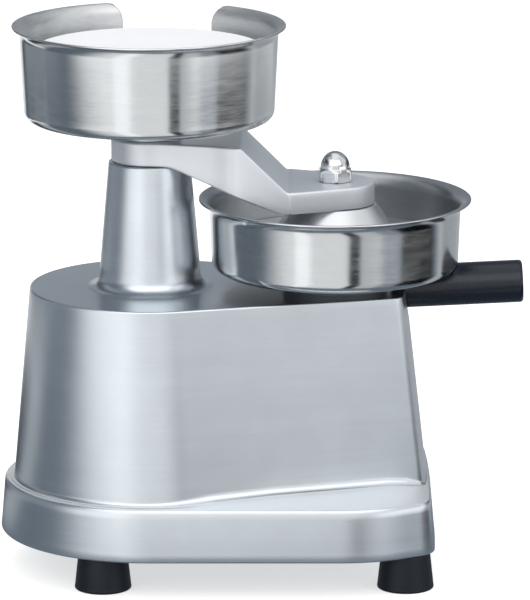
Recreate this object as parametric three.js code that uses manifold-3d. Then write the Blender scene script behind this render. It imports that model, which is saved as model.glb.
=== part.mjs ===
// A hand burger press with a cast base and column, a forming bowl with an ejector,
// a cranked arm that carries the press head, and a bowl of patty papers on top.
// Millimetres, +Z up. The origin is the middle of the footprint, on the table.
import * as THREE from 'three';
import { mergeVertices } from 'three/addons/utils/BufferGeometryUtils.js';
import Module from 'manifold-3d';

const wasm = await Module();
wasm.setup();

// Gap that touching solids keep, and how far a cutter runs past what it cuts
const clearance = 0.3;
const overrun = 2;

// Facets round a full turn
const castingFacets = 40;
const bowlFacets = 40;
const turnedFacets = 20;
const smallFacets = 12;

// Distance from the column axis to the axis of the forming bowl
const bowlSpacing = 106.7;

// Feet
const footHeight = 22;
const footTopRadius = 14;
const footBottomRadius = 16.5;
const footEdge = 1.6;
const footBoreDepth = 12.5;
const footBoreRadius = 8.6;
const leftFootEndInset = 61;
const leftFootSideInset = 28;
const rightFootEndInset = 16.8;
const rightFootSideInset = 29.5;
const footScrewRadius = 3;
const footScrewHeadRadius = 5;
const footScrewHeadHeight = 5;
const footScrewReach = 20;
const footWasherRadius = 8;
const footWasherThickness = 1.6;

// Base casting, outside
const flangeRadius = 87.5;
const flangeHeight = 30.7;
const flangeDraft = 2.7;
const flangeEdge = 1;
const flangeBendPastBowl = 2.3;
const flangeBendRadius = 76;
const flangeBendAngle = Math.PI / 6;
const flangeCorner = 12;
const flangePastBowl = 57.1;
const ledgeRound = 2;
const ledgeRise = 0.8;
const footFillet = 3.2;
const bodyHeight = 142.5;
const bodyFootRadius = 79.1;
const bodyTopRadius = 69.6;
const bodyFootPastBowl = 51.1;
const bodyTopPastBowl = 38.9;
const bodyFootHalfWidth = 33;
const bodyTopHalfWidth = 32;
const bodyCorner = 8;
const bodyTopEdge = 1.2;
const columnHeight = 73.5;
const columnFootRadius = 29.9;
const columnTopRadius = 21.9;
const columnFillet = 7;
const columnTopEdge = 1;

// Base casting, inside
const castingWall = 5;
const ledgeThickness = 4;
const footBossRadius = 11;
const footBossHeight = 26;
const footRibHalfWidth = 4;
const columnBore = 14;
const columnTubeWall = 5;
const columnTubeDepth = 40.5;
const pedestalRadius = 30;
const bowlLift = 9.9;
const pedestalBossRadius = 20;
const pedestalBossDepth = 12.5;

// Slot for the handle in the casting's end
const slotHalfWidth = 13.5;
const slotPastBowl = 18.3;
const slotFloorDrop = 20.5;

// Shaft, bushes and stop
const shaftRadius = 10;
const shaftTail = 6.4;
const shaftBushLength = 25;
const shaftBushInset = 0.5;
const armTravel = 45;
const collarRadius = 17;
const collarHeight = 10;
const collarScrewRadius = 3;
const collarScrewLength = 6;

// Forming bowl and mould ring
const sheet = 1.2;
const bowlColumnGap = 28.7;
const formingHeight = 41.8;
const formingFlare = 5.8;
const formingWallLean = 1;
const formingLip = 7;
const bowlCorner = 6;
const dishRadius = 24;
const dishDepth = 4;
const mouldBowlGap = 5.9;
const mouldWall = 4;
const mouldHeight = 15.6;
const mouldFootWall = 0.9;
const mouldChamfer = 5.3;

// Ejector
const discMouldGap = 0.5;
const ejectorThickness = 3;
const ejectorRodRadius = 8;
const ejectorRodDrop = 33;
const ejectorRodTipRadius = 3.5;
const ejectorRodTaper = 6.5;
const ejectorBushRadius = 13;
const ejectorBushFlange = 21.5;
const ejectorBushFlangeThickness = 2.2;
const ejectorBushTail = 1;
const ejectorScrewRadius = 2.5;
const ejectorScrewHeadRadius = 5;
const ejectorScrewHeadHeight = 2.4;
const ejectorScrewLength = 16;
const pattyThickness = 9.3;

// Lever and handle
const pivotPastBowl = 27.8;
const pivotDrop = 18.5;
const leverTipPastBowl = 2.8;
const leverTipRadius = 7;
const leverHalfWidth = 5;
const leverHubRadius = 7;
const leverHubHalfLength = 13.4;
const tangPastPivot = 8.5;
const tangLength = 60;
const pinRadius = 4;
const pinHeadRadius = 6;
const pinHeadHeight = 2.2;
const lugThickness = 6;
const lugRadius = 8;
const clipRadius = 6.5;
const clipThickness = 1.2;
const pinTail = 1.2;
const gripRadius = 12.3;
const gripRound = 2;
const gripLength = 69.4;
const gripPastBowl = 109.1;
const gripTilt = THREE.MathUtils.degToRad(2.75);
const gripEndRise = 2.5;
const gripBowlGap = 0.6;

// Arm
const armBossRadius = 22;
const armThickness = 13.7;
const armPlateThickness = 12.7;
const armDrop = 26;
const armHalfWidth = 36;
const armTipRadius = 22.8;
const armTipTangent = THREE.MathUtils.degToRad(64);
const armUpperBendInset = 54.2;
const armLowerBendInset = 27.7;
const armUnderBendX = 12;
const armUnderEndInset = 31.7;
const spotFaceMargin = 0.6;
const armSetScrewRadius = 4;
const armSetScrewLength = 9;

// Half-width of the arm along its length: share of bowl spacing, share of the widest half-width
const armPlanShares = [
  [0.1, 0.65], [0.22, 0.735], [0.34, 0.84], [0.43, 0.95], [0.5, 1],
  [0.62, 1], [0.74, 0.975], [0.8, 0.945],
];

// Press head, stud and dome nut
const headPlateThickness = 3.6;
const headConeFootRadius = 37;
const headConeTopRadius = 23.6;
const headConeFillet = 3;
const studRadius = 6;
const studDepth = 17;
const studNutDepth = 11.5;
const nutCornerRadius = 10.4;
const nutHexHeight = 7.1;
const nutDomeRadius = 8.6;
const nutDomeHeight = 10;
const nutTurn = THREE.MathUtils.degToRad(4);

// Paper bowl, its hub and the papers
const hubRadius = 18;
const hubHeight = 10.5;
const paperHeight = 54.6;
const paperBowlGap = 7;
const paperWallLean = 2;
const paperFlare = 4;
const paperLip = 6;
const dimpleRadius = 11;
const dimpleDepth = 5;
const dimpleFloorRadius = 6;
const bowlScrewRadius = 4;
const bowlScrewHeadRadius = 9.3;
const bowlScrewLength = 27;
const cutoutCentre = THREE.MathUtils.degToRad(7.65);
const cutoutHalfWidth = 26.3;
const cutoutDepth = 40;
const cutoutTopRound = 8;
const cutoutFloorRound = 9;
const paperStackHeight = 40;

// Places along the press, from the column axis
const gripReach = bowlSpacing + gripPastBowl;
const flangeEnd = bowlSpacing + flangePastBowl;
const bodyFootEnd = bowlSpacing + bodyFootPastBowl;
const bodyTopEnd = bowlSpacing + bodyTopPastBowl;
const pivotX = bowlSpacing + pivotPastBowl;
const tangStartX = pivotX + tangPastPivot;
const leverTipX = bowlSpacing + leverTipPastBowl;

// Radii of what stands round the bowl's axis, from the rim inwards, and of the papers
const formingRimRadius = bowlSpacing - bowlColumnGap;
const formingWallRadius = formingRimRadius - formingFlare;
const formingFootRadius = formingWallRadius - formingWallLean;
const mouldRadius = formingFootRadius - mouldBowlGap;
const discRadius = mouldRadius - discMouldGap;
const paperRadius = mouldRadius - clearance;
const paperFootRadius = paperRadius + paperBowlGap;
const paperWallRadius = paperFootRadius + paperWallLean;
const paperRimRadius = paperWallRadius + paperFlare;

// Heights above the table
const flangeBottom = footHeight;
const flangeTop = flangeBottom + flangeHeight;
const bodyTop = flangeBottom + bodyHeight;
const columnTop = bodyTop + columnHeight;
const cavityTop = bodyTop - castingWall;
const formingBottom = bodyTop + bowlLift;
const formingFloor = formingBottom + sheet;
const ejectorBottom = formingFloor + clearance;
const ejectorTop = ejectorBottom + ejectorThickness;
const headBottom = ejectorTop + pattyThickness;
const headPlateTop = headBottom + headPlateThickness;
const armBottom = columnTop + clearance;
const armTop = armBottom + armThickness;
const armEndTop = armTop - armDrop;
const armEndBottom = armEndTop - armPlateThickness;
const headTop = armEndBottom - clearance;
const paperBowlBottom = armTop + hubHeight;
const paperBowlFloor = paperBowlBottom + sheet;
const columnTubeBottom = bodyTop - columnTubeDepth;
const pivotZ = bodyTop - pivotDrop;
const rodBottom = formingBottom - ejectorRodDrop;
const leverTipZ = rodBottom - clearance - leverTipRadius;
const collarTop = columnTubeBottom - armTravel - clearance;
const shaftBottom = collarTop - collarHeight - shaftTail;

// The column axis is set so that the footprint's middle is the origin
const columnX = (flangeRadius - gripReach) / 2;

// Finishes: colour, roughness, metalness
const finishes = {
  cast: [0xb9c1c8, 0.42, 0.85],
  stainless: [0xb4b6b6, 0.28, 0.95],
  headAlloy: [0xd9dcde, 0.35, 0.8],
  chrome: [0xd4d7da, 0.12, 1],
  steel: [0x8f9498, 0.35, 0.95],
  bronze: [0xa8834f, 0.4, 0.9],
  plastic: [0x17181b, 0.42, 0],
  rubber: [0x15171a, 0.7, 0],
  paper: [0xf3f4f4, 0.9, 0],
};

const press = new THREE.Group();
press.name = 'burger_press';
const model = new THREE.Group();
model.position.x = columnX;
press.add(model);

// Returns the volume inside an indexed mesh, negative where its faces point in
function signedVolume(positions, index) {
  const a = new THREE.Vector3();
  const b = new THREE.Vector3();
  const c = new THREE.Vector3();
  let volume = 0;
  for (let i = 0; i < index.length; i += 3) {
    a.fromArray(positions, index[i] * 3);
    b.fromArray(positions, index[i + 1] * 3);
    c.fromArray(positions, index[i + 2] * 3);
    volume += a.dot(b.cross(c)) / 6;
  }
  return volume;
}

// Merges shared vertices, drops empty triangles and turns the faces outwards
function closed(geometry) {
  geometry.deleteAttribute('normal');
  geometry.deleteAttribute('uv');
  const merged = mergeVertices(geometry);
  const positions = merged.attributes.position.array;
  const source = merged.index.array;
  let index = [];
  for (let i = 0; i < source.length; i += 3) {
    const [a, b, c] = [source[i], source[i + 1], source[i + 2]];
    if (a !== b && b !== c && c !== a) index.push(a, b, c);
  }
  if (signedVolume(positions, index) < 0) index = index.reverse();
  const result = new THREE.BufferGeometry();
  result.setAttribute('position', new THREE.BufferAttribute(positions, 3));
  result.setIndex(index);
  return result;
}

// Turns a closed geometry into a solid that can be joined and cut
function solidOf(geometry) {
  const tidy = closed(geometry);
  return new wasm.Manifold(new wasm.Mesh({
    numProp: 3,
    vertProperties: new Float32Array(tidy.attributes.position.array),
    triVerts: new Uint32Array(tidy.index.array),
  }));
}

// Turns a solid back into a geometry
function geometryOf(solid) {
  const mesh = solid.getMesh();
  const geometry = new THREE.BufferGeometry();
  geometry.setAttribute('position', new THREE.BufferAttribute(mesh.vertProperties, 3));
  geometry.setIndex(new THREE.BufferAttribute(mesh.triVerts, 1));
  return geometry;
}

// Adds one named piece to the press
function addPiece(name, shape, finish, place = [0, 0, 0]) {
  const geometry = shape.isBufferGeometry ? closed(shape) : geometryOf(shape);
  const [color, roughness, metalness] = finishes[finish];
  const material = new THREE.MeshStandardMaterial({ color, roughness, metalness });
  const mesh = new THREE.Mesh(geometry, material);
  mesh.name = name;
  mesh.position.set(...place);
  model.add(mesh);
}

// Turns an outline of [radius, height] points round the Z axis
function lathe(profile, facets) {
  const points = profile.map(([radius, height]) => new THREE.Vector2(radius, height));
  points.push(points[0].clone());
  return new THREE.LatheGeometry(points, facets).rotateX(Math.PI / 2);
}

// A ring or disc between two heights
function ring(outer, inner, low, high, facets) {
  return lathe([[inner, low], [outer, low], [outer, high], [inner, high]], facets);
}

// A plain cylinder along Z
function rod(radius, low, high, facets) {
  return ring(radius, 0, low, high, facets);
}

// A plain cylinder along Y through a point of the XZ plane
function crossRod(radius, from, to, x, z, facets) {
  return rod(radius, from, to, facets).rotateX(-Math.PI / 2).translate(x, 0, z);
}

// A box from its low corner to its high corner
function block(low, high) {
  const size = high.map((value, axis) => value - low[axis]);
  const middle = high.map((value, axis) => (value + low[axis]) / 2);
  return new THREE.BoxGeometry(...size).translate(...middle);
}

// Extrudes an outline of [x, z] points along Y, from one place to another
function sidePrism(outline, from, to) {
  const shape = new THREE.Shape(outline.map(([x, z]) => new THREE.Vector2(x, z)));
  const geometry = new THREE.ExtrudeGeometry(shape, { depth: to - from, bevelEnabled: false });
  return geometry.rotateX(Math.PI / 2).translate(0, to, 0);
}

// Points of an arc about a centre, first and last included
function arc(x, y, radius, start, end, steps, yRadius = radius) {
  return Array.from({ length: steps + 1 }, (unused, i) => {
    const angle = start + (end - start) * i / steps;
    return [x + radius * Math.cos(angle), y + yRadius * Math.sin(angle)];
  });
}

// Points along a straight line, without its last point
function run(from, to, steps) {
  return Array.from({ length: steps }, (unused, i) => [
    from[0] + (to[0] - from[0]) * i / steps,
    from[1] + (to[1] - from[1]) * i / steps,
  ]);
}

// Closes half of a plan outline, drawn on the front side, with its mirror image
function mirrored(half) {
  return [...half, ...half.slice(1, -1).reverse().map(([x, y]) => [x, -y])];
}

const quarter = Math.PI / 2;
const leftSteps = 12;
const sideSteps = 2;
const bendSteps = 3;
const cornerSteps = 4;

// Plan outline of the flange, moved in by some distance
function flangeOutline(inset) {
  const radius = flangeRadius - inset;
  const bendRadius = flangeBendRadius - inset;
  const corner = flangeCorner - inset;
  const turn = 3 * quarter + flangeBendAngle;
  const bendStart = bowlSpacing + flangeBendPastBowl;
  const bend = arc(bendStart, bendRadius - radius, bendRadius, 3 * quarter, turn, bendSteps);
  const bendEnd = bend[bendSteps];
  const cornerX = flangeEnd - inset - corner;
  const toCorner = (cornerX - bendEnd[0]) * Math.tan(flangeBendAngle);
  const cornerY = bendEnd[1] + toCorner + corner / Math.cos(flangeBendAngle);
  const cornerArc = arc(cornerX, cornerY, corner, turn, 4 * quarter, cornerSteps);
  return mirrored([
    ...arc(0, 0, radius, 2 * quarter, 3 * quarter, leftSteps).slice(0, -1),
    ...run([0, -radius], bend[0], sideSteps),
    ...bend.slice(0, -1),
    ...run(bendEnd, cornerArc[0], 1),
    ...cornerArc,
    [flangeEnd - inset, 0],
  ]);
}

// Angle of the body's sides for a round end, a flat end and its half-width
function sideTaper(radius, end, halfWidth) {
  return Math.asin(radius / Math.hypot(end, halfWidth)) - Math.atan2(halfWidth, end);
}

// Plan outline of the body wall at a share of its height, moved out by some distance
function wallOutline(share, offset) {
  const mix = (foot, top) => foot + (top - foot) * share;
  const plainRadius = mix(bodyFootRadius, bodyTopRadius);
  const plainEnd = mix(bodyFootEnd, bodyTopEnd);
  const taper = sideTaper(plainRadius, plainEnd, mix(bodyFootHalfWidth, bodyTopHalfWidth));
  const radius = plainRadius + offset;
  const corner = bodyCorner + offset;
  const turn = 3 * quarter + taper;
  const left = arc(0, 0, radius, 2 * quarter, turn, leftSteps);
  const cornerX = plainEnd - bodyCorner;
  const cornerY = (cornerX * Math.sin(taper) + corner - radius) / Math.cos(taper);
  const cornerArc = arc(cornerX, cornerY, corner, turn, 4 * quarter, cornerSteps);
  return mirrored([
    ...left.slice(0, -1),
    ...run(left[leftSteps], cornerArc[0], sideSteps + bendSteps + 1),
    ...cornerArc,
    [plainEnd + offset, 0],
  ]);
}

// Skins a stack of [outline, height] rings with equal point counts into a closed solid
function loft(layers) {
  const count = layers[0][0].length;
  const positions = layers.flatMap(([outline, z]) => outline.flatMap(([x, y]) => [x, y, z]));
  const index = [];
  for (let layer = 0; layer < layers.length - 1; layer += 1) {
    for (let i = 0; i < count; i += 1) {
      const a = layer * count + i;
      const b = layer * count + (i + 1) % count;
      index.push(a, b, b + count, a, b + count, a + count);
    }
  }
  const middle = positions.length / 3;
  const last = (layers.length - 1) * count;
  positions.push(0, 0, layers[0][1], 0, 0, layers[layers.length - 1][1]);
  for (let i = 0; i < count; i += 1) {
    const next = (i + 1) % count;
    index.push(middle, next, i, middle + 1, last + i, last + next);
  }
  const geometry = new THREE.BufferGeometry();
  geometry.setAttribute('position', new THREE.Float32BufferAttribute(positions, 3));
  geometry.setIndex(index);
  return geometry;
}

// Moves a chain of [radius, height] points to its left by a distance
function offsetChain(chain, distance) {
  return chain.map((point, i) => {
    const before = chain[Math.max(i - 1, 0)];
    const after = chain[Math.min(i + 1, chain.length - 1)];
    const length = Math.hypot(after[0] - before[0], after[1] - before[1]);
    return [
      point[0] - (after[1] - before[1]) * distance / length,
      point[1] + (after[0] - before[0]) * distance / length,
    ];
  });
}

// Gives a chain of points the sheet's thickness
function sheetProfile(chain) {
  return [...chain, ...offsetChain(chain, sheet).reverse()];
}

// Outer chain of a bowl from its floor to its flared lip
function bowlWall(bottom, height, footRadius, wallRadius, rimRadius, lip) {
  const cornerRadius = footRadius - bowlCorner;
  const top = bottom + height - sheet;
  const flare = rimRadius - wallRadius;
  return [
    ...arc(cornerRadius, bottom + bowlCorner, bowlCorner, -quarter, 0, 3),
    ...arc(rimRadius, top - lip, flare, 2 * quarter, quarter, 4, lip),
  ];
}

// The base: hollow body with its flange, column, bowl pedestal, bosses and lever lugs
function bodyCasting() {
  const drop = flangeDraft / flangeHeight;
  const outside = loft([
    [flangeOutline(flangeEdge), flangeBottom],
    [flangeOutline(0), flangeBottom + flangeEdge],
    [flangeOutline(drop * (flangeHeight - ledgeRound)), flangeTop - ledgeRound],
    [flangeOutline(flangeDraft + ledgeRound / 3), flangeTop - ledgeRound / 3],
    [flangeOutline(flangeDraft + ledgeRound), flangeTop],
    [wallOutline(0, footFillet * 0.8), flangeTop + ledgeRise],
    [wallOutline(0, footFillet * 0.25), flangeTop + ledgeRise + footFillet / 3],
    [wallOutline(0, 0), flangeTop + ledgeRise + footFillet],
    [wallOutline(1, 0), bodyTop - bodyTopEdge],
    [wallOutline(1, -bodyTopEdge), bodyTop],
  ]);
  const hollow = loft([
    [flangeOutline(castingWall), flangeBottom - overrun],
    [flangeOutline(castingWall + flangeDraft), flangeTop - ledgeThickness - ledgeRound],
    [wallOutline(0, -castingWall), flangeTop - ledgeThickness],
    [wallOutline(1, -castingWall), cavityTop],
  ]);
  let casting = solidOf(outside).add(solidOf(columnShape())).add(solidOf(pedestalShape()));
  casting = casting.subtract(solidOf(hollow));
  casting = casting.add(solidOf(rod(columnBore + columnTubeWall, columnTubeBottom, bodyTop, turnedFacets)));
  const bossLow = bodyTop - pedestalBossDepth;
  casting = casting.add(solidOf(
    rod(pedestalBossRadius, bossLow, bodyTop, turnedFacets).translate(bowlSpacing, 0, 0)));
  for (const boss of footBosses()) casting = casting.add(boss);
  for (const lug of leverLugs()) casting = casting.add(lug);
  for (const cutter of castingCutters()) casting = casting.subtract(cutter);
  return casting;
}

// The tapered column with a fillet at its foot
function columnShape() {
  const slope = (columnFootRadius - columnTopRadius) / columnHeight;
  const filletRadius = columnFootRadius - slope * columnFillet;
  return lathe([
    [0, bodyTop - castingWall / 2],
    [filletRadius + columnFillet, bodyTop - castingWall / 2],
    ...arc(filletRadius + columnFillet, bodyTop + columnFillet, columnFillet, 3 * quarter, 2 * quarter, 5),
    [columnTopRadius, columnTop - columnTopEdge],
    [columnTopRadius - columnTopEdge, columnTop],
    [0, columnTop],
  ], castingFacets);
}

// The round seat that the forming bowl stands on
function pedestalShape() {
  const low = bodyTop - castingWall / 2;
  return rod(pedestalRadius, low, formingBottom - clearance, turnedFacets).translate(bowlSpacing, 0, 0);
}

// Places of the four feet, with a name for each
function footPlaces() {
  const leftX = leftFootEndInset - flangeRadius;
  const leftY = flangeRadius - leftFootSideInset;
  const rightX = flangeEnd - rightFootEndInset;
  const rightY = flangeRadius - rightFootSideInset;
  return [
    ['front_left', leftX, -leftY],
    ['back_left', leftX, leftY],
    ['front_right', rightX, -rightY],
    ['back_right', rightX, rightY],
  ];
}

// Bosses for the foot screws, each tied to the flange by a rib
function footBosses() {
  const top = flangeBottom + footBossHeight;
  return footPlaces().map(([name, x, y]) => {
    const boss = rod(footBossRadius, flangeBottom, top, smallFacets).translate(x, y, 0);
    const wallY = x < 0
      ? Math.sqrt(flangeRadius ** 2 - x ** 2) - castingWall
      : Math.abs(y) + footBossRadius + castingWall / 2;
    const endY = Math.sign(y) * wallY;
    const rib = block(
      [x - footRibHalfWidth, Math.min(y, endY), flangeBottom + flangeEdge],
      [x + footRibHalfWidth, Math.max(y, endY), top],
    );
    return solidOf(boss).add(solidOf(rib));
  });
}

// Two lugs under the top plate that hold the lever's pin
function leverLugs() {
  const inner = leverHubHalfLength + clearance;
  const outer = inner + lugThickness;
  return [[inner, outer], [-outer, -inner]].map(([from, to]) => {
    const eye = crossRod(lugRadius, from, to, pivotX, pivotZ, smallFacets);
    const stem = block(
      [pivotX - lugRadius, from, pivotZ], [pivotX + lugRadius, to, bodyTop - castingWall / 2]);
    return solidOf(eye).add(solidOf(stem));
  });
}

// Everything that is bored or milled out of the casting
function castingCutters() {
  const boreTop = columnTop + overrun;
  const cutters = [rod(columnBore, columnTubeBottom - overrun, boreTop, turnedFacets)];
  const seat = dishRadius + sheet + clearance;
  const seatFloor = formingBottom - dishDepth - clearance;
  const bushBore = ejectorBushRadius + clearance;
  cutters.push(rod(seat, seatFloor, formingBottom, turnedFacets).translate(bowlSpacing, 0, 0));
  cutters.push(rod(bushBore, flangeTop, formingBottom, turnedFacets).translate(bowlSpacing, 0, 0));
  for (const [name, x, y] of footPlaces()) {
    const low = flangeBottom - overrun;
    const high = flangeBottom + footScrewReach + overrun;
    cutters.push(rod(footScrewRadius + clearance, low, high, smallFacets).translate(x, y, 0));
  }
  const pinEnd = leverHubHalfLength + lugThickness + overrun;
  cutters.push(crossRod(pinRadius + clearance, -pinEnd, pinEnd, pivotX, pivotZ, smallFacets));
  const solids = cutters.map(solidOf);
  solids.push(handleSlot());
  return solids;
}

// The open slot at the end that the handle and its lever move in, below the pedestal
function handleSlot() {
  const floor = bodyTop - slotFloorDrop;
  const centre = floor + slotHalfWidth;
  const outline = [
    ...arc(0, centre, slotHalfWidth, 2 * quarter, 4 * quarter, 10),
    [slotHalfWidth, bodyTop + overrun],
    [-slotHalfWidth, bodyTop + overrun],
  ];
  const start = bowlSpacing + slotPastBowl;
  const prism = sidePrism(outline, start, bodyFootEnd + overrun).rotateZ(-quarter);
  const seat = rod(pedestalRadius, bodyTop, formingBottom, turnedFacets).translate(bowlSpacing, 0, 0);
  return solidOf(prism).subtract(solidOf(seat));
}

// A rubber foot with the recess for its screw
function foot() {
  const top = footHeight - clearance;
  const slope = (footBottomRadius - footTopRadius) / footHeight;
  return lathe([
    [footScrewRadius + clearance, footBoreDepth],
    [footBoreRadius, footBoreDepth],
    [footBoreRadius, 0],
    [footBottomRadius - footEdge, 0],
    [footBottomRadius - footEdge * 0.3, footEdge * 0.3],
    [footBottomRadius - slope * footEdge, footEdge],
    [footTopRadius, top],
    [footScrewRadius + clearance, top],
  ], turnedFacets);
}

// A flat-headed foot screw, head down
function footScrew() {
  const headTop = footBoreDepth - 2 * clearance - footWasherThickness;
  const tip = flangeBottom + footScrewReach;
  return lathe([
    [0, headTop - footScrewHeadHeight],
    [footScrewHeadRadius, headTop - footScrewHeadHeight],
    [footScrewHeadRadius, headTop],
    [footScrewRadius, headTop],
    [footScrewRadius, tip],
    [0, tip],
  ], smallFacets);
}

// The washer between a foot screw's head and the rubber
function footWasher() {
  const top = footBoreDepth - clearance;
  return ring(footWasherRadius, footScrewRadius + clearance, top - footWasherThickness, top, smallFacets);
}

// The lower bowl, pressed down at its middle for the ejector bush
function formingBowl() {
  const wall = bowlWall(
    formingBottom, formingHeight, formingFootRadius, formingWallRadius, formingRimRadius, formingLip);
  const chain = [
    [ejectorBushRadius + clearance, formingBottom - dishDepth],
    [dishRadius - sheet, formingBottom - dishDepth],
    [dishRadius, formingBottom - dishDepth + sheet],
    [dishRadius, formingBottom - sheet],
    [dishRadius + sheet, formingBottom],
    ...wall,
  ];
  return lathe(sheetProfile(chain), bowlFacets);
}

// The ring inside the bowl that gives the patty its size
function mouldRing() {
  const low = formingFloor + clearance;
  const outer = mouldRadius + mouldWall;
  return lathe([
    [mouldRadius, low],
    [mouldRadius + mouldFootWall, low],
    [outer, low + mouldChamfer],
    [outer, low + mouldHeight],
    [mouldRadius, low + mouldHeight],
  ], bowlFacets);
}

// The disc that lifts the finished patty
function ejectorPlate() {
  const head = ejectorScrewHeadRadius + clearance;
  return lathe([
    [ejectorScrewRadius + clearance, ejectorBottom],
    [discRadius, ejectorBottom],
    [discRadius, ejectorTop],
    [head, ejectorTop],
    [ejectorScrewRadius + clearance, ejectorTop - ejectorScrewHeadHeight - clearance],
  ], bowlFacets);
}

// The rod under the ejector disc, tapped for the disc's screw
function ejectorRod() {
  const top = ejectorBottom - clearance;
  const hole = ejectorScrewRadius + clearance;
  const holeFloor = ejectorTop - ejectorScrewLength - clearance;
  return lathe([
    [0, rodBottom],
    [ejectorRodTipRadius, rodBottom],
    [ejectorRodRadius, rodBottom + ejectorRodTaper],
    [ejectorRodRadius, top],
    [hole, top],
    [hole, holeFloor],
    [0, holeFloor],
  ], turnedFacets);
}

// Countersunk screw that holds the disc on its rod
function ejectorScrew() {
  const top = ejectorTop - clearance / 3;
  return lathe([
    [0, ejectorTop - ejectorScrewLength],
    [ejectorScrewRadius, ejectorTop - ejectorScrewLength],
    [ejectorScrewRadius, top - ejectorScrewHeadHeight],
    [ejectorScrewHeadRadius, top],
    [0, top],
  ], smallFacets);
}

// Flanged bush that guides the ejector rod and clamps the bowl to its seat
function ejectorBush() {
  const flangeLow = formingBottom - dishDepth + sheet + clearance;
  const flangeHigh = flangeLow + ejectorBushFlangeThickness;
  const bore = ejectorRodRadius + clearance;
  const low = bodyTop - pedestalBossDepth - ejectorBushTail;
  return lathe([
    [bore, low],
    [ejectorBushRadius, low],
    [ejectorBushRadius, flangeLow],
    [ejectorBushFlange, flangeLow],
    [ejectorBushFlange, flangeHigh],
    [bore, flangeHigh],
  ], turnedFacets);
}

// A plain bush for the main shaft
function shaftBush(low) {
  return ring(columnBore - clearance, shaftRadius + clearance, low, low + shaftBushLength, turnedFacets);
}

// The shaft that carries the arm, tapped at its top for the bowl screw
function mainShaft() {
  const top = armTop - clearance;
  const hole = bowlScrewRadius + clearance;
  const holeFloor = bowlScrewTip() - clearance;
  return lathe([
    [0, shaftBottom],
    [shaftRadius, shaftBottom],
    [shaftRadius, top],
    [hole, top],
    [hole, holeFloor],
    [0, holeFloor],
  ], turnedFacets);
}

// The collar that stops the shaft when the arm is lifted
function stopCollar() {
  const low = collarTop - collarHeight;
  const middle = collarTop - collarHeight / 2;
  const body = ring(collarRadius, shaftRadius + clearance, low, collarTop, turnedFacets);
  const hole = crossRod(
    collarScrewRadius + clearance, shaftRadius, collarRadius + overrun, 0, middle, smallFacets);
  return solidOf(body).subtract(solidOf(hole));
}

// The screw that fixes the collar on the shaft
function collarScrew() {
  const from = shaftRadius + clearance;
  const middle = collarTop - collarHeight / 2;
  return crossRod(collarScrewRadius, from, from + collarScrewLength, 0, middle, smallFacets);
}

// A bar with round ends between two points of the XZ plane
function link(from, to) {
  const lean = Math.atan2(to[1] - from[1], to[0] - from[0]);
  const outline = [
    ...arc(from[0], from[1], leverHalfWidth, lean + quarter, lean + 3 * quarter, 8),
    ...arc(to[0], to[1], leverHalfWidth, lean - quarter, lean + quarter, 8),
  ];
  return solidOf(sidePrism(outline, -leverHalfWidth, leverHalfWidth));
}

// Middle of the grip's end face
function gripEnd() {
  return [gripReach - (gripRadius - gripRound) * Math.sin(gripTilt), bodyTop + gripEndRise];
}

// Height of the grip's axis at a place along the press
function gripAxisZ(x) {
  const [endX, endZ] = gripEnd();
  return endZ - (endX - x) * Math.tan(gripTilt);
}

// The lever: hub on its pin, a leg under the ejector rod and a tang in the grip
function leverBar() {
  const pivot = [pivotX, pivotZ];
  const start = [tangStartX, gripAxisZ(tangStartX)];
  const endX = tangStartX + tangLength * Math.cos(gripTilt);
  const hub = crossRod(
    leverHubRadius, -leverHubHalfLength, leverHubHalfLength, pivotX, pivotZ, turnedFacets);
  const bore = crossRod(pinRadius + clearance, -pivotX, pivotX, pivotX, pivotZ, smallFacets);
  const nose = crossRod(
    leverTipRadius, -leverHalfWidth, leverHalfWidth, leverTipX, leverTipZ, turnedFacets);
  const bar = solidOf(hub)
    .add(solidOf(nose))
    .add(link(pivot, [leverTipX, leverTipZ]))
    .add(link(pivot, start))
    .add(link(start, [endX, gripAxisZ(endX)]));
  return bar.subtract(solidOf(bore));
}

// The pin that the lever turns on
function leverPin() {
  const shoulder = leverHubHalfLength + clearance + lugThickness + clearance;
  const end = shoulder + clipThickness + clearance + pinTail;
  return lathe([
    [0, -shoulder - pinHeadHeight],
    [pinHeadRadius, -shoulder - pinHeadHeight],
    [pinHeadRadius, -shoulder],
    [pinRadius, -shoulder],
    [pinRadius, end],
    [0, end],
  ], smallFacets).rotateX(-quarter).translate(pivotX, 0, pivotZ);
}

// The ring that keeps the pin in its lugs
function pinClip() {
  const low = leverHubHalfLength + clearance + lugThickness + clearance;
  return ring(clipRadius, pinRadius + clearance, low, low + clipThickness, smallFacets)
    .rotateX(-quarter).translate(pivotX, 0, pivotZ);
}

// The round handle, flat on top where it passes under the bowl
function handleGrip() {
  const [endX, endZ] = gripEnd();
  const hole = leverHalfWidth + clearance;
  const body = lathe([
    [0, -gripLength],
    [gripRadius - gripRound, -gripLength],
    [gripRadius - gripRound * 0.3, -gripLength + gripRound * 0.3],
    [gripRadius, -gripLength + gripRound],
    [gripRadius, -gripRound],
    [gripRadius - gripRound * 0.3, -gripRound * 0.3],
    [gripRadius - gripRound, 0],
    [0, 0],
  ], turnedFacets);
  const tangEnd = tangStartX + tangLength + leverHalfWidth + clearance - endX;
  const socket = block([-hole, -hole, -gripLength - overrun], [hole, hole, tangEnd]);
  const turned = solidOf(body).subtract(solidOf(socket));
  const placed = geometryOf(turned).rotateY(quarter).rotateY(-gripTilt).translate(endX, 0, endZ);
  const low = formingBottom - gripBowlGap;
  const farX = bowlSpacing + formingFootRadius + 2 * gripBowlGap;
  const relief = block(
    [tangStartX - gripRadius, -gripRadius, low], [farX, gripRadius, formingFloor + gripRadius]);
  return solidOf(placed).subtract(solidOf(relief));
}

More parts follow.
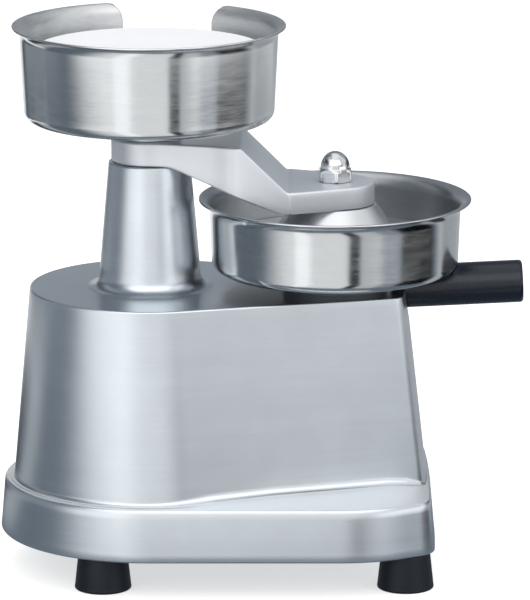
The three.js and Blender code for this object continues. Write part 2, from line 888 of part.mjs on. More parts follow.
// The cranked arm: a plan outline met with a side outline, then bored
function pressArm() {
  const edge = new THREE.CatmullRomCurve3(armPlanShares.map(
    ([along, wide]) => new THREE.Vector3(along * bowlSpacing, -wide * armHalfWidth, 0)));
  const side = edge.getPoints(2 * armPlanShares.length).map((point) => [point.x, point.y]);
  const tip = arc(bowlSpacing, 0, armTipRadius, -armTipTangent, 0, 6);
  const half = [
    ...arc(0, 0, armBossRadius, 2 * quarter, 3 * quarter, 8),
    ...side,
    ...tip,
  ];
  const plan = new THREE.Shape(mirrored(half).map(([x, y]) => new THREE.Vector2(x, y)));
  const depth = armTop - armEndBottom + 2 * overrun;
  const prism = new THREE.ExtrudeGeometry(plan, { depth, bevelEnabled: false })
    .translate(0, 0, armEndBottom - overrun);
  const profile = sidePrism([
    [-armBossRadius - overrun, armBottom],
    [armUnderBendX, armBottom],
    [bowlSpacing - armUnderEndInset, armEndBottom],
    [bowlSpacing + armTipRadius + overrun, armEndBottom],
    [bowlSpacing + armTipRadius + overrun, armEndTop],
    [bowlSpacing - armLowerBendInset, armEndTop],
    [bowlSpacing - armUpperBendInset, armTop],
    [-armBossRadius - overrun, armTop],
  ], -armHalfWidth - overrun, armHalfWidth + overrun);
  const low = armEndBottom - overrun;
  const high = armTop + overrun;
  const spotFace = rod(columnTopRadius + spotFaceMargin, low, armBottom, castingFacets);
  const shaftHole = rod(shaftRadius + clearance, low, high, turnedFacets);
  const studHole = rod(studRadius + clearance, low, high, turnedFacets).translate(bowlSpacing, 0, 0);
  const screwHole = crossRod(
    armSetScrewRadius + clearance, shaftRadius, armBossRadius + overrun, 0, armMiddle(), smallFacets);
  return solidOf(prism).intersect(solidOf(profile)).subtract(solidOf(spotFace))
    .subtract(solidOf(shaftHole)).subtract(solidOf(studHole)).subtract(solidOf(screwHole));
}

function armMiddle() {
  return armBottom + armThickness / 2;
}

// The screw at the back of the boss that fixes the arm to the shaft
function armSetScrew() {
  const from = shaftRadius + clearance;
  return crossRod(armSetScrewRadius, from, from + armSetScrewLength, 0, armMiddle(), smallFacets);
}

// The press head: a flat disc under a tapered boss, tapped for its stud
function pressHead() {
  const hole = studRadius + clearance;
  return lathe([
    [0, headBottom],
    [discRadius, headBottom],
    [discRadius, headPlateTop],
    [headConeFootRadius + headConeFillet, headPlateTop],
    [headConeFootRadius, headPlateTop + headConeFillet / 2],
    [headConeTopRadius, headTop],
    [hole, headTop],
    [hole, headTop - studDepth - clearance],
    [0, headTop - studDepth - clearance],
  ], bowlFacets);
}

// The threaded rod from the press head up into the dome nut
function headStud() {
  return rod(studRadius, headTop - studDepth, armEndTop + clearance + studNutDepth, turnedFacets);
}

// The dome nut on top of the arm
function domeNut() {
  const low = armEndTop + clearance;
  const hexTop = low + nutHexHeight;
  const hex = new THREE.CylinderGeometry(nutCornerRadius, nutCornerRadius, nutHexHeight, 6)
    .rotateX(quarter).rotateZ(nutTurn).translate(0, 0, (low + hexTop) / 2);
  const dome = lathe([
    [0, low + nutHexHeight / 2],
    [nutDomeRadius, low + nutHexHeight / 2],
    ...arc(0, hexTop, nutDomeRadius, 0, quarter, 6, nutDomeHeight),
  ], turnedFacets);
  const hole = rod(studRadius + clearance, low - overrun, low + studNutDepth + clearance, turnedFacets);
  return solidOf(hex).add(solidOf(dome)).subtract(solidOf(hole));
}

// The spacer between the arm and the paper bowl
function bowlHub() {
  const low = armTop + clearance;
  const high = paperBowlBottom - clearance;
  const hole = bowlScrewRadius + clearance;
  return lathe([
    [hole, low],
    [hubRadius, low],
    [hubRadius, high],
    [dimpleRadius + 2 * clearance, high],
    [dimpleFloorRadius + 2 * clearance, paperBowlBottom - dimpleDepth - clearance],
    [hole, paperBowlBottom - dimpleDepth - clearance],
  ], turnedFacets);
}

// Height of the bowl screw's tip
function bowlScrewTip() {
  return paperBowlFloor - bowlScrewLength;
}

// Countersunk screw through the paper bowl and its hub into the shaft
function bowlScrew() {
  const headLow = paperBowlBottom - dimpleDepth + sheet + clearance;
  const headHigh = paperBowlFloor - clearance;
  return lathe([
    [0, bowlScrewTip()],
    [bowlScrewRadius, bowlScrewTip()],
    [bowlScrewRadius, headLow],
    [bowlScrewRadius + clearance, headLow],
    [bowlScrewHeadRadius, headHigh - 2 * clearance],
    [bowlScrewHeadRadius, headHigh],
    [0, headHigh],
  ], smallFacets);
}

// Outline of the paper bowl's cut-out, as seen from behind the bowl
function cutoutOutline() {
  const top = paperBowlBottom + paperHeight;
  const floor = top - cutoutDepth;
  const open = cutoutHalfWidth + cutoutTopRound;
  const floorX = cutoutHalfWidth - cutoutFloorRound;
  const floorZ = floor + cutoutFloorRound;
  return [
    [-open, top + overrun],
    ...arc(-open, top - cutoutTopRound, cutoutTopRound, quarter, 0, 5),
    ...arc(-floorX, floorZ, cutoutFloorRound, 2 * quarter, 3 * quarter, 5),
    ...arc(floorX, floorZ, cutoutFloorRound, -quarter, 0, 5),
    ...arc(open, top - cutoutTopRound, cutoutTopRound, 2 * quarter, quarter, 5),
    [open, top + overrun],
  ];
}

// The upper bowl for the patty papers, cut open at the back
function paperBowl() {
  const wall = bowlWall(
    paperBowlBottom, paperHeight, paperFootRadius, paperWallRadius, paperRimRadius, paperLip);
  const chain = [
    [bowlScrewRadius + clearance, paperBowlBottom - dimpleDepth],
    [dimpleFloorRadius, paperBowlBottom - dimpleDepth],
    [dimpleRadius, paperBowlBottom],
    ...wall,
  ];
  const bowl = solidOf(lathe(sheetProfile(chain), bowlFacets));
  const cutter = sidePrism(cutoutOutline(), paperRadius / 2, paperRimRadius + overrun)
    .rotateZ(-cutoutCentre);
  return bowl.subtract(solidOf(cutter));
}

// The stack of round patty papers
function paperStack() {
  const low = paperBowlFloor + clearance;
  return rod(paperRadius, low, low + paperStackHeight, bowlFacets);
}

const atBowl = [bowlSpacing, 0, 0];

addPiece('body_casting', bodyCasting(), 'cast');
for (const [name, x, y] of footPlaces()) {
  addPiece(`foot_${name}`, foot(), 'rubber', [x, y, 0]);
  addPiece(`foot_washer_${name}`, footWasher(), 'steel', [x, y, 0]);
  addPiece(`foot_screw_${name}`, footScrew(), 'steel', [x, y, 0]);
}
addPiece('upper_shaft_bush', shaftBush(columnTop - shaftBushInset - shaftBushLength), 'bronze');
addPiece('lower_shaft_bush', shaftBush(columnTubeBottom + shaftBushInset), 'bronze');
addPiece('forming_bowl', formingBowl(), 'stainless', atBowl);
addPiece('mould_ring', mouldRing(), 'headAlloy', atBowl);
addPiece('ejector_bush', ejectorBush(), 'bronze', atBowl);
addPiece('ejector_plate', ejectorPlate(), 'headAlloy', atBowl);
addPiece('ejector_rod', ejectorRod(), 'steel', atBowl);
addPiece('ejector_screw', ejectorScrew(), 'steel', atBowl);
addPiece('lever_bar', leverBar(), 'steel');
addPiece('handle_grip', handleGrip(), 'plastic');
addPiece('lever_pin', leverPin(), 'steel');
addPiece('lever_pin_clip', pinClip(), 'steel');
addPiece('main_shaft', mainShaft(), 'steel');
addPiece('stop_collar', stopCollar(), 'steel');
addPiece('stop_collar_screw', collarScrew(), 'steel');
addPiece('press_arm', pressArm(), 'cast');
addPiece('arm_set_screw', armSetScrew(), 'steel');
addPiece('press_head', pressHead(), 'headAlloy', atBowl);
addPiece('head_stud', headStud(), 'steel', atBowl);
addPiece('dome_nut', domeNut(), 'chrome', atBowl);
addPiece('paper_bowl_hub', bowlHub(), 'steel');
addPiece('paper_bowl', paperBowl(), 'stainless');
addPiece('paper_bowl_screw', bowlScrew(), 'steel');
addPiece('paper_stack', paperStack(), 'paper');

export default press;
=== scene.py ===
"""Looks of a hand burger press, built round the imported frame.

Lengths are in millimetres while a shape is worked out, and in metres once it is a mesh.
Places along the press are measured from the column axis, as in the part's source.
"""

import logging
import math
from dataclasses import dataclass, replace
from enum import Enum
from typing import Callable, Iterable, Sequence

import bmesh
import bpy
import numpy as np
from mathutils import Matrix, Vector


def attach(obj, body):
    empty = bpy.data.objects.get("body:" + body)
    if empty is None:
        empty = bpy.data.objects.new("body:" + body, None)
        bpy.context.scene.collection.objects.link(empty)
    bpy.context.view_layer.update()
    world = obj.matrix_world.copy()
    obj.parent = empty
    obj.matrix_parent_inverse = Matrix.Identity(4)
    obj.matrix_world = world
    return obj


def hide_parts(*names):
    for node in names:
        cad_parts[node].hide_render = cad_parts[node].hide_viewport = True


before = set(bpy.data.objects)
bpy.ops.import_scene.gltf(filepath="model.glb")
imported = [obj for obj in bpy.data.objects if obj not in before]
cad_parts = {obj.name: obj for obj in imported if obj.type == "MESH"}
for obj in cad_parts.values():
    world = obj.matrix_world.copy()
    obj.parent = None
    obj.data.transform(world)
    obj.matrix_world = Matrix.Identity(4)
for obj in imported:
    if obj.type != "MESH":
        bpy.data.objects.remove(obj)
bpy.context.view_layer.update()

log = logging.getLogger("burger_press")

MM = 0.001
COLUMN_X = -64.15
BOWL_SPACING = 106.7
QUARTER = math.pi / 2
# How far from a rounding its guard points stand.
GUARD = 0.25
# Edges that turn by more than this stay crisp.
CREASE = math.radians(38.0)

Point = tuple[float, float]
Place = tuple[float, float, float]
Corner = tuple[float, float, float]
Colour = tuple[float, float, float]
Shell = tuple[np.ndarray, list[tuple[int, ...]]]
Piece = bpy.types.Object
Node = bpy.types.Node
Socket = bpy.types.NodeSocket
Tree = bpy.types.NodeTree


class Body(Enum):
    """The bodies of the frame that pieces ride on."""

    BASE = "base"
    ARM = "arm"
    PAPERS = "papers"
    LEVER = "lever"
    EJECTOR = "ejector"


# ---------------------------------------------------------------- outlines


def arc(x: float, y: float, radius: float, start: float, end: float, steps: int) -> list[Point]:
    """Points of an arc about (x, y) from one angle in radians to another, ends included."""
    angles = np.linspace(start, end, steps + 1)
    return [(x + radius * math.cos(a), y + radius * math.sin(a)) for a in angles]


def run(start: Point, end: Point, steps: int) -> list[Point]:
    """Points at equal steps along a straight line, without its last point."""
    shares = np.linspace(0, 1, steps, endpoint=False)
    return [tuple(a + (b - a) * s for a, b in zip(start, end)) for s in shares]


def bulging_end(corner: Point, bulge: float, steps: int) -> list[Point]:
    """Half of an end that its middle bows out by bulge, from its corner to the X axis."""
    shares = np.linspace(0, 1, steps + 1)
    return [(corner[0] + bulge * (1 - (1 - s) ** 2), corner[1] * (1 - s)) for s in shares]


def mirrored(half: Sequence[Point]) -> np.ndarray:
    """A closed plan outline from its front half, which starts and ends on the X axis."""
    back = [(x, -y) for x, y in reversed(half[1:-1])]
    return np.array([*half, *back])


def rounded(corners: Sequence[Corner], closed: bool = True, steps: int = 6) -> list[Point]:
    """A chain of points with each corner rounded by its own radius.

    Args:
        corners: (radius or x, height, rounding) of each corner.
        closed: whether the last corner joins the first.
        steps: steps of each rounding.

    Returns:
        The points, with guard points beside each rounding so that flats stay flat.
    """
    count = len(corners)
    points: list[Point] = []
    for i, (px, py, rounding) in enumerate(corners):
        here = np.array((px, py))
        if rounding <= 0 or (not closed and i in (0, count - 1)):
            points.append((px, py))
            continue
        before = np.array(corners[i - 1][:2]) - here
        after = np.array(corners[(i + 1) % count][:2]) - here
        long_before, long_after = np.linalg.norm(before), np.linalg.norm(after)
        before, after = before / long_before, after / long_after
        half = math.acos(max(-1.0, min(1.0, float(before @ after)))) / 2
        reach = rounding / math.tan(half)
        middle = before + after
        centre = here + middle / np.linalg.norm(middle) * rounding / math.sin(half)
        first = here + before * reach
        last = here + after * reach
        start = math.atan2(*(first - centre)[::-1])
        sweep = math.atan2(*(last - centre)[::-1]) - start
        sweep = (sweep + math.pi) % (2 * math.pi) - math.pi
        guard = min(GUARD, rounding)
        if reach + guard < long_before / 2:
            points.append(tuple(here + before * (reach + guard)))
        points.extend(arc(*centre, rounding, start, start + sweep, steps))
        if reach + guard < long_after / 2:
            points.append(tuple(here + after * (reach + guard)))
    return points


def offset(points: np.ndarray, distance: float) -> np.ndarray:
    """A closed plan outline moved inwards, square to its own run.

    Args:
        points: rows of (x, y), anticlockwise as seen from above.
        distance: how far each point moves in.

    Returns:
        The moved points, row for row.
    """
    tangent = np.roll(points, -1, axis=0) - np.roll(points, 1, axis=0)
    tangent /= np.linalg.norm(tangent, axis=1, keepdims=True)
    return points + distance * np.column_stack((-tangent[:, 1], tangent[:, 0]))


# ---------------------------------------------------------------- shells


def full_turn(segments: int) -> np.ndarray:
    """Equal angles round a full turn, without its last."""
    return np.linspace(0, 2 * math.pi, segments, endpoint=False)


def steps_to(end: float, steps: int) -> np.ndarray:
    """Equal steps from 0 to an end, without the 0."""
    return np.linspace(0, end, steps + 1)[1:]


def blended(first: np.ndarray, last: np.ndarray, steps: int) -> list[np.ndarray]:
    """Rings at equal steps from one ring, which is left out, to another."""
    return [first + (last - first) * share for share in steps_to(1, steps)]


def level(outline: np.ndarray, height: float) -> np.ndarray:
    """A plan outline laid at one height, as rows of (x, y, z)."""
    return np.column_stack((outline, np.full(len(outline), height)))


def hoop(radius: float | np.ndarray, angles: np.ndarray, height: float) -> np.ndarray:
    """A ring about the vertical axis, with one radius or a radius for each angle."""
    return level(np.column_stack((radius * np.cos(angles), radius * np.sin(angles))), height)


def lathe(profile: Sequence[Point], segments: int, centre: float = 0.0) -> Shell:
    """Turns a closed profile of (radius, height) points about a vertical axis at centre."""
    angles = full_turn(segments)
    return loft([hoop(r, angles, z) + (centre, 0, 0) for r, z in profile], closed=True)


def loft(rings: Sequence[np.ndarray], closed: bool = False) -> Shell:
    """Skins a stack of rings with equal point counts.

    Args:
        rings: rows of (x, y, z) for each ring.
        closed: whether the last ring joins the first. Otherwise both ends are capped.

    Returns:
        The vertices and faces.
    """
    count = len(rings[0])
    faces: list[tuple[int, ...]] = []
    layers = len(rings) if closed else len(rings) - 1
    for layer in range(layers):
        low, high = layer * count, (layer + 1) % len(rings) * count
        for i in range(count):
            j = (i + 1) % count
            faces.append((low + i, low + j, high + j, high + i))
    if not closed:
        faces.append(tuple(reversed(range(count))))
        last = (len(rings) - 1) * count
        faces.append(tuple(range(last, last + count)))
    return np.vstack(rings), faces


def block(low: Sequence[float], high: Sequence[float]) -> Shell:
    """A six-sided block from its low corner to its high corner."""
    plan = np.array([(low[0], low[1]), (high[0], low[1]), (high[0], high[1]), (low[0], high[1])])
    return loft([level(plan, low[2]), level(plan, high[2])])


def turned(shell: Shell, axis: str, angle: float, place: Sequence[float]) -> Shell:
    """A shell turned by an angle about an axis through the origin, and then moved."""
    matrix = np.array(Matrix.Rotation(angle, 3, axis))
    return shell[0] @ matrix.T + np.array(place), shell[1]


def from_origin(shell: Shell) -> Shell:
    """A shell about the frame's origin, given by its places from the column axis."""
    return shell[0] - (COLUMN_X, 0, 0), shell[1]


def joined(shells: Iterable[Shell]) -> Shell:
    """Several shells as one.

    Args:
        shells: the shells in order.

    Returns:
        One list of vertices and one of faces.
    """
    vertices: list[np.ndarray] = []
    faces: list[tuple[int, ...]] = []
    start = 0
    for points, sides in shells:
        vertices.append(points)
        faces.extend(tuple(start + i for i in face) for face in sides)
        start += len(points)
    return np.vstack(vertices), faces


def mesh_object(name: str, shell: Shell) -> Piece:
    """Makes a mesh object in metres from a shell in millimetres.

    Args:
        name: the object's name.
        shell: vertices from the column axis, and faces.

    Returns:
        The object, linked to the scene, with doubles merged and faces outwards.
    """
    vertices, faces = shell
    mesh = bpy.data.meshes.new(name)
    mesh.from_pydata(((vertices + (COLUMN_X, 0, 0)) * MM).tolist(), [], faces)
    clean(mesh)
    return linked(name, mesh)


def clean(mesh: bpy.types.Mesh) -> None:
    """Merges a mesh's doubles, turns its faces outwards and shades it.

    Args:
        mesh: the mesh.
    """
    work = bmesh.new()
    work.from_mesh(mesh)
    bmesh.ops.remove_doubles(work, verts=work.verts, dist=1e-7)
    bmesh.ops.dissolve_degenerate(work, edges=work.edges, dist=1e-8)
    bmesh.ops.recalc_face_normals(work, faces=work.faces)
    work.to_mesh(mesh)
    work.free()
    shade(mesh)


def shade(mesh: bpy.types.Mesh) -> None:
    """Shades a mesh smooth, but for its creases."""
    mesh.shade_smooth()
    mesh.set_sharp_from_angle(angle=CREASE)


def linked(name: str, data: bpy.types.ID) -> Piece:
    """A new object of a mesh, camera or lamp, linked to the scene.

    Args:
        name: its name.
        data: its mesh, camera or lamp.

    Returns:
        The object.
    """
    thing = bpy.data.objects.new(name, data)
    bpy.context.scene.collection.objects.link(thing)
    return thing


def add_shells(target: Piece, shell: Shell) -> None:
    """Adds closed shells to a piece's mesh.

    Args:
        target: the piece.
        shell: vertices and faces of what is added.
    """
    extra = mesh_object("extra", shell)
    work = bmesh.new()
    work.from_mesh(target.data)
    work.from_mesh(extra.data)
    work.to_mesh(target.data)
    work.free()
    bpy.data.objects.remove(extra)
    shade(target.data)


def bake(thing: Piece, modifier: bpy.types.Modifier) -> None:
    """Keeps what a modifier makes of a piece as the piece's plain mesh.

    Args:
        thing: the piece.
        modifier: its modifier, which is removed.
    """
    evaluated = thing.evaluated_get(bpy.context.evaluated_depsgraph_get())
    mesh = bpy.data.meshes.new_from_object(evaluated)
    thing.modifiers.remove(modifier)
    old, thing.data = thing.data, mesh
    bpy.data.meshes.remove(old)
    mesh.name = thing.name


def carve(target: Piece, cutter: Shell) -> None:
    """Takes a closed cutter out of a piece.

    Args:
        target: the piece.
        cutter: vertices and faces of what is cut away.
    """
    tool = mesh_object("cutter", cutter)
    modifier = target.modifiers.new("cut", "BOOLEAN")
    modifier.operation, modifier.solver, modifier.object = "DIFFERENCE", "EXACT", tool
    bake(target, modifier)
    bpy.data.objects.remove(tool)
    shade(target.data)


# ---------------------------------------------------------------- shader groups


class Wiring:
    """A small hand for adding nodes to a tree and joining them."""

    def __init__(self, tree: Tree) -> None:
        """Keeps the tree that nodes go to."""
        self.tree = tree

    @property
    def source(self) -> bpy.types.NodeOutputs:
        """What comes into the tree, by name."""
        return self.tree.nodes["Group Input"].outputs

    @property
    def sink(self) -> Node:
        """The node that takes what leaves the tree."""
        return self.tree.nodes["Group Output"]

    def add(self, kind: str, **settings: object) -> Node:
        """Adds a node.

        Args:
            kind: its type, without the leading ShaderNode.
            settings: attributes to set on it.

        Returns:
            The node.
        """
        prefix = "" if kind.startswith(("Node", "Geometry", "Function")) else "ShaderNode"
        node = self.tree.nodes.new(prefix + kind)
        for key, value in settings.items():
            setattr(node, key, value)
        return node

    def feed(self, node: Node, **inputs: object) -> Node:
        """Sets or links a node's inputs by name, with _ for a space.

        Args:
            node: the node.
            inputs: a value, or the socket that feeds the input.

        Returns:
            The same node.
        """
        for key, value in inputs.items():
            name = key[1:] if key.startswith("i") and key[1:].isdigit() else key.replace("_", " ")
            socket = node.inputs[int(name)] if name.isdigit() else node.inputs[name]
            if isinstance(value, Socket):
                self.tree.links.new(value, socket)
            else:
                socket.default_value = value
        return node

    def get(self, kind: str, **inputs: object) -> Socket:
        """Adds a node without settings and gives its first output."""
        return self.feed(self.add(kind), **inputs).outputs[0]

    def group(self, name: str, **inputs: object) -> bpy.types.NodeOutputs:
        """Adds one of the shared shader groups and gives its outputs."""
        return self.feed(self.add("Group", node_tree=GROUPS[name]), **inputs).outputs

    def in_order(self, node: Node, values: Sequence[object]) -> Socket:
        """Feeds a node's inputs in their order and gives its first output."""
        return self.feed(node, **{f"i{i}": value for i, value in enumerate(values)}).outputs[0]

    def math(self, operation: str, *values: object, use_clamp: bool = False) -> Socket:
        """A Math node's result, which use_clamp holds between 0 and 1."""
        return self.in_order(self.add("Math", operation=operation, use_clamp=use_clamp), values)

    def vector(self, operation: str, *values: object) -> Socket:
        """A Vector Math node's result."""
        return self.in_order(self.add("VectorMath", operation=operation), values)

    def scaled(self, vector: object, factor: object) -> Socket:
        """A vector times a number."""
        node = self.add("VectorMath", operation="SCALE")
        return self.feed(node, i0=vector, Scale=factor).outputs[0]

    def parts(self, vector: Socket) -> bpy.types.NodeOutputs:
        """A vector's X, Y and Z."""
        return self.feed(self.add("SeparateXYZ"), i0=vector).outputs

    def spread(
            self, value: object, low: float, high: float, to_low: float, to_high: float) -> Socket:
        """Maps the range low to high smoothly to another one, held at its ends."""
        node = self.add("MapRange", interpolation_type="SMOOTHSTEP")
        return self.feed(node, i0=value, i1=low, i2=high, i3=to_low, i4=to_high).outputs[0]

    def between(self, share: object, first: object, second: object) -> Socket:
        """Mixes two numbers, by how much of the second counts."""
        node = self.add("Mix", data_type="FLOAT")
        return self.feed(node, i0=share, i2=first, i3=second).outputs[0]

    def blend(self, share: object, first: object, second: object) -> Socket:
        """Mixes two colours, by how much of the second shows."""
        node = self.add("Mix", data_type="RGBA")
        return self.feed(node, i0=share, i6=first, i7=second).outputs[2]


SHADER, SHAPE = "ShaderNodeTree", "GeometryNodeTree"
FLOAT, VECTOR, COLOUR = "NodeSocketFloat", "NodeSocketVector", "NodeSocketColor"
INTEGER, GEOMETRY = "NodeSocketInt", "NodeSocketGeometry"
OBJECT, MATERIAL = "NodeSocketObject", "NodeSocketMaterial"
PLACE = (VECTOR, (0, 0, 0))


def new_tree(
        kind: str, name: str, inputs: dict[str, tuple[str, object]],
        outputs: dict[str, str]) -> Wiring:
    """Starts a node tree with named sockets.

    Args:
        kind: the tree's type.
        name: its name.
        inputs: socket name to its kind and its default value, or None for no default.
        outputs: socket name to kind.

    Returns:
        The wiring of the new tree, with its own input and output nodes made.
    """
    tree = bpy.data.node_groups.new(name, kind)
    for label, (socket_kind, default) in inputs.items():
        socket = tree.interface.new_socket(label, in_out="INPUT", socket_type=socket_kind)
        if default is not None:
            socket.default_value = default
    for label, socket_kind in outputs.items():
        tree.interface.new_socket(label, in_out="OUTPUT", socket_type=socket_kind)
    wiring = Wiring(tree)
    wiring.add("NodeGroupInput")
    wiring.add("NodeGroupOutput")
    return wiring


def grain_group() -> Tree:
    """Straight or round brush marks, as long thin noise.

    Returns:
        The group: Vector, Stretch (scale along each axis), Strength in; Mark, Height out.
    """
    coarseness, fine_share = (0.37, 0.37, 0.21), 0.6
    wiring = new_tree(
        SHADER, "brush_grain",
        {"Vector": PLACE, "Stretch": (VECTOR, (1, 1, 1)), "Strength": (FLOAT, 1.0)},
        {"Mark": FLOAT, "Height": FLOAT})
    source = wiring.source
    near = wiring.vector("MULTIPLY", source["Vector"], source["Stretch"])
    far = wiring.vector("MULTIPLY", near, coarseness)
    fine = wiring.get("TexNoise", Vector=near, Scale=1.0, Detail=3.0, Roughness=0.6)
    coarse = wiring.get("TexNoise", Vector=far, Scale=1.0, Detail=2.0, Roughness=0.5)
    both = wiring.math(
        "ADD", wiring.math("MULTIPLY", fine, fine_share),
        wiring.math("MULTIPLY", coarse, 1 - fine_share))
    mark = wiring.math("MULTIPLY", wiring.math("SUBTRACT", both, 0.5), source["Strength"])
    wiring.feed(wiring.sink, Mark=mark, Height=both)
    return wiring.tree


def round_group() -> Tree:
    """Coordinates that run round a vertical axis without a seam.

    Returns:
        The group: Vector, Turns (how closely marks change round the axis) in; Vector out.
    """
    wiring = new_tree(
        SHADER, "round_axis", {"Vector": PLACE, "Turns": (FLOAT, 1.0)}, {"Vector": VECTOR})
    source = wiring.source
    flat = wiring.vector("MULTIPLY", source["Vector"], (1, 1, 0))
    radius = wiring.feed(wiring.add("VectorMath", operation="LENGTH"), i0=flat).outputs["Value"]
    around = wiring.scaled(wiring.vector("NORMALIZE", flat), source["Turns"])
    depth = wiring.math("ADD", wiring.parts(source["Vector"])["Z"], radius)
    up = wiring.get("CombineXYZ", Z=depth)
    wiring.feed(wiring.sink, Vector=wiring.vector("ADD", around, up))
    return wiring.tree


def cloud_group() -> Tree:
    """Broad soft clouding, as handled or tumbled metal has.

    Returns:
        The group: Vector, Size (noise scale), Low, High in; Value out.
    """
    wiring = new_tree(
        SHADER, "clouding",
        {"Vector": PLACE, "Size": (FLOAT, 30.0), "Low": (FLOAT, 0.0), "High": (FLOAT, 1.0)},
        {"Value": FLOAT})
    source = wiring.source
    noise = wiring.get(
        "TexNoise", Vector=source["Vector"], Scale=source["Size"], Detail=4.0, Roughness=0.55)
    mapped = wiring.get(
        "MapRange", i0=noise, i1=0.3, i2=0.7, i3=source["Low"], i4=source["High"])
    wiring.feed(wiring.sink, Value=mapped)
    return wiring.tree


def wear_group() -> Tree:
    """Where edges are scuffed smooth and painted bright as a highlight, broken up by noise.

    Returns:
        The group: Vector, Edge (how convex the surface is), Strength in; Mask out.
    """
    noise_scale, noise_share, worn_and_lit_range = 160.0, 0.03, (0.55, 0.62)
    wiring = new_tree(
        SHADER, "edge_wear",
        {"Vector": PLACE, "Edge": (FLOAT, 0.5), "Strength": (FLOAT, 0.5)}, {"Mask": FLOAT})
    source = wiring.source
    noise = wiring.get(
        "TexNoise", Vector=source["Vector"], Scale=noise_scale, Detail=3.0, Roughness=0.6)
    broken = wiring.math("ADD", source["Edge"], wiring.math("MULTIPLY", noise, noise_share))
    mask = wiring.spread(broken, *worn_and_lit_range, 0.0, 1.0)
    wiring.feed(wiring.sink, Mask=wiring.math("MULTIPLY", mask, source["Strength"]))
    return wiring.tree


GROUPS = {
    "grain": grain_group(), "round": round_group(), "cloud": cloud_group(), "wear": wear_group()}


# ---------------------------------------------------------------- finishes


def new_material(name: str) -> tuple[bpy.types.Material, Wiring, Node]:
    """Starts a material.

    Args:
        name: its name.

    Returns:
        The material, its wiring and its shader.
    """
    material = bpy.data.materials.new(name)
    material.use_nodes = True
    return material, Wiring(material.node_tree), material.node_tree.nodes["Principled BSDF"]


def rgba(colour: Colour, gain: float = 1.0) -> tuple[float, float, float, float]:
    """A colour times a gain, each part at most 1, with an alpha of 1."""
    return (*(min(1.0, part * gain) for part in colour), 1.0)


class Brushing(Enum):
    """How a metal was brushed: the scale of its marks along X, Y and Z, per metre."""

    LENGTHWISE = (16.0, 16.0, 600.0)
    ROUND = (1.0, 1.0, 1100.0)
    BLASTED = (900.0, 900.0, 900.0)


@dataclass(frozen=True)
class MetalFinish:
    """A bare metal with clouding, brush marks and fine pits."""

    name: str
    colour: Colour
    roughness: float
    brushing: Brushing = Brushing.BLASTED
    centre: Point = (0.0, 0.0)
    turns: float = 8.0
    anisotropy: float = 0.0
    mark: float = 0.10
    relief: float = 0.00001
    cloud_size: float = 22.0
    cloud: float = 0.06
    tone_size: float = 50.6
    tone: Point = (0.3, 0.7)
    tint: float = 0.05
    streaks: float = 6.0
    # How strongly convex edges are scuffed smooth and painted lighter: part scuffing, part painted
    # highlight.
    wear: float = 0.0
    wear_and_highlight_gain: float = 1.25
    worn_polish: float = 0.15
    metallic: float = 1.0

    def build(self) -> bpy.types.Material:
        """Builds the material.

        Returns:
            The material with its nodes.
        """
        material, wiring, shader = new_material(self.name)
        place = wiring.add("TexCoord").outputs["Object"]
        vector = wiring.get("Mapping", Vector=place, Location=(*(-c for c in self.centre), 0))
        along = vector
        if self.brushing is Brushing.ROUND:
            along = wiring.group("round", Vector=vector, Turns=self.turns)[0]
        grain = wiring.group(
            "grain", Vector=along, Stretch=self.brushing.value, Strength=2 * self.mark)
        cloud = wiring.group(
            "cloud", Vector=vector, Size=self.cloud_size, Low=-self.cloud, High=self.cloud)
        tone = wiring.group(
            "cloud", Vector=vector, Size=self.tone_size, Low=self.tone[0], High=self.tone[1])
        rough = wiring.math("ADD", wiring.math("ADD", cloud[0], grain["Mark"]), self.roughness)
        streaks = wiring.math("MULTIPLY", grain["Mark"], self.streaks)
        share = wiring.math("ADD", tone[0], streaks, use_clamp=True)
        colour = wiring.blend(share, rgba(self.colour, 1 - self.tint), rgba(self.colour))
        # Convex edges turn smoother and lighter: the smoothing is scuffing, the lighter colour
        # partly a painted highlight.
        if self.wear:
            edge = wiring.add("NewGeometry").outputs["Pointiness"]
            worn_and_lit = wiring.group("wear", Vector=vector, Edge=edge, Strength=self.wear)[0]
            colour = wiring.blend(worn_and_lit, colour, rgba(self.colour, self.wear_and_highlight_gain))
            rough = wiring.math("SUBTRACT", rough, wiring.math("MULTIPLY", worn_and_lit, self.worn_polish))
        bump = wiring.get("Bump", Strength=1.0, Distance=self.relief, Height=grain["Height"])
        wiring.feed(
            shader, Base_Color=colour, Metallic=self.metallic, Roughness=rough, Normal=bump,
            Anisotropic=self.anisotropy)
        if self.anisotropy:
            tangent = wiring.add("Tangent", direction_type="RADIAL", axis="Z").outputs[0]
            wiring.feed(shader, Tangent=tangent, Anisotropic_Rotation=0.25)
        return material


@dataclass(frozen=True)
class PlainFinish:
    """A moulded, rubber or paper surface with fine texture."""

    name: str
    colour: Colour
    roughness: float
    roughness_change: float = 0.06
    grain_size: float = 1500.0
    grain_range: Point = (0.35, 0.65)
    relief: float = 0.00002
    cloud_size: float = 60.0
    variation: float = 0.15
    specular: float = 0.5

    def build(self) -> bpy.types.Material:
        """Builds the material.

        Returns:
            The material with its nodes.
        """
        material, wiring, shader = new_material(self.name)
        vector = wiring.add("TexCoord").outputs["Object"]
        grain = wiring.group(
            "grain", Vector=vector, Stretch=(self.grain_size,) * 3, Strength=1.0)
        cloud = wiring.group("cloud", Vector=vector, Size=self.cloud_size, Low=0.0, High=1.0)
        colour = wiring.blend(cloud[0], rgba(self.colour, 1 - self.variation), rgba(self.colour))
        low, high = self.roughness - self.roughness_change, self.roughness + self.roughness_change
        rough = wiring.spread(grain["Height"], *self.grain_range, low, high)
        bump = wiring.get("Bump", Strength=1.0, Distance=self.relief, Height=grain["Height"])
        wiring.feed(
            shader, Base_Color=colour, Roughness=rough, Normal=bump,
            Specular_IOR_Level=self.specular)
        return material


Finish = MetalFinish | PlainFinish
BOWL_AXIS = ((COLUMN_X + BOWL_SPACING) * MM, 0.0)
COLUMN_AXIS = (COLUMN_X * MM, 0.0)

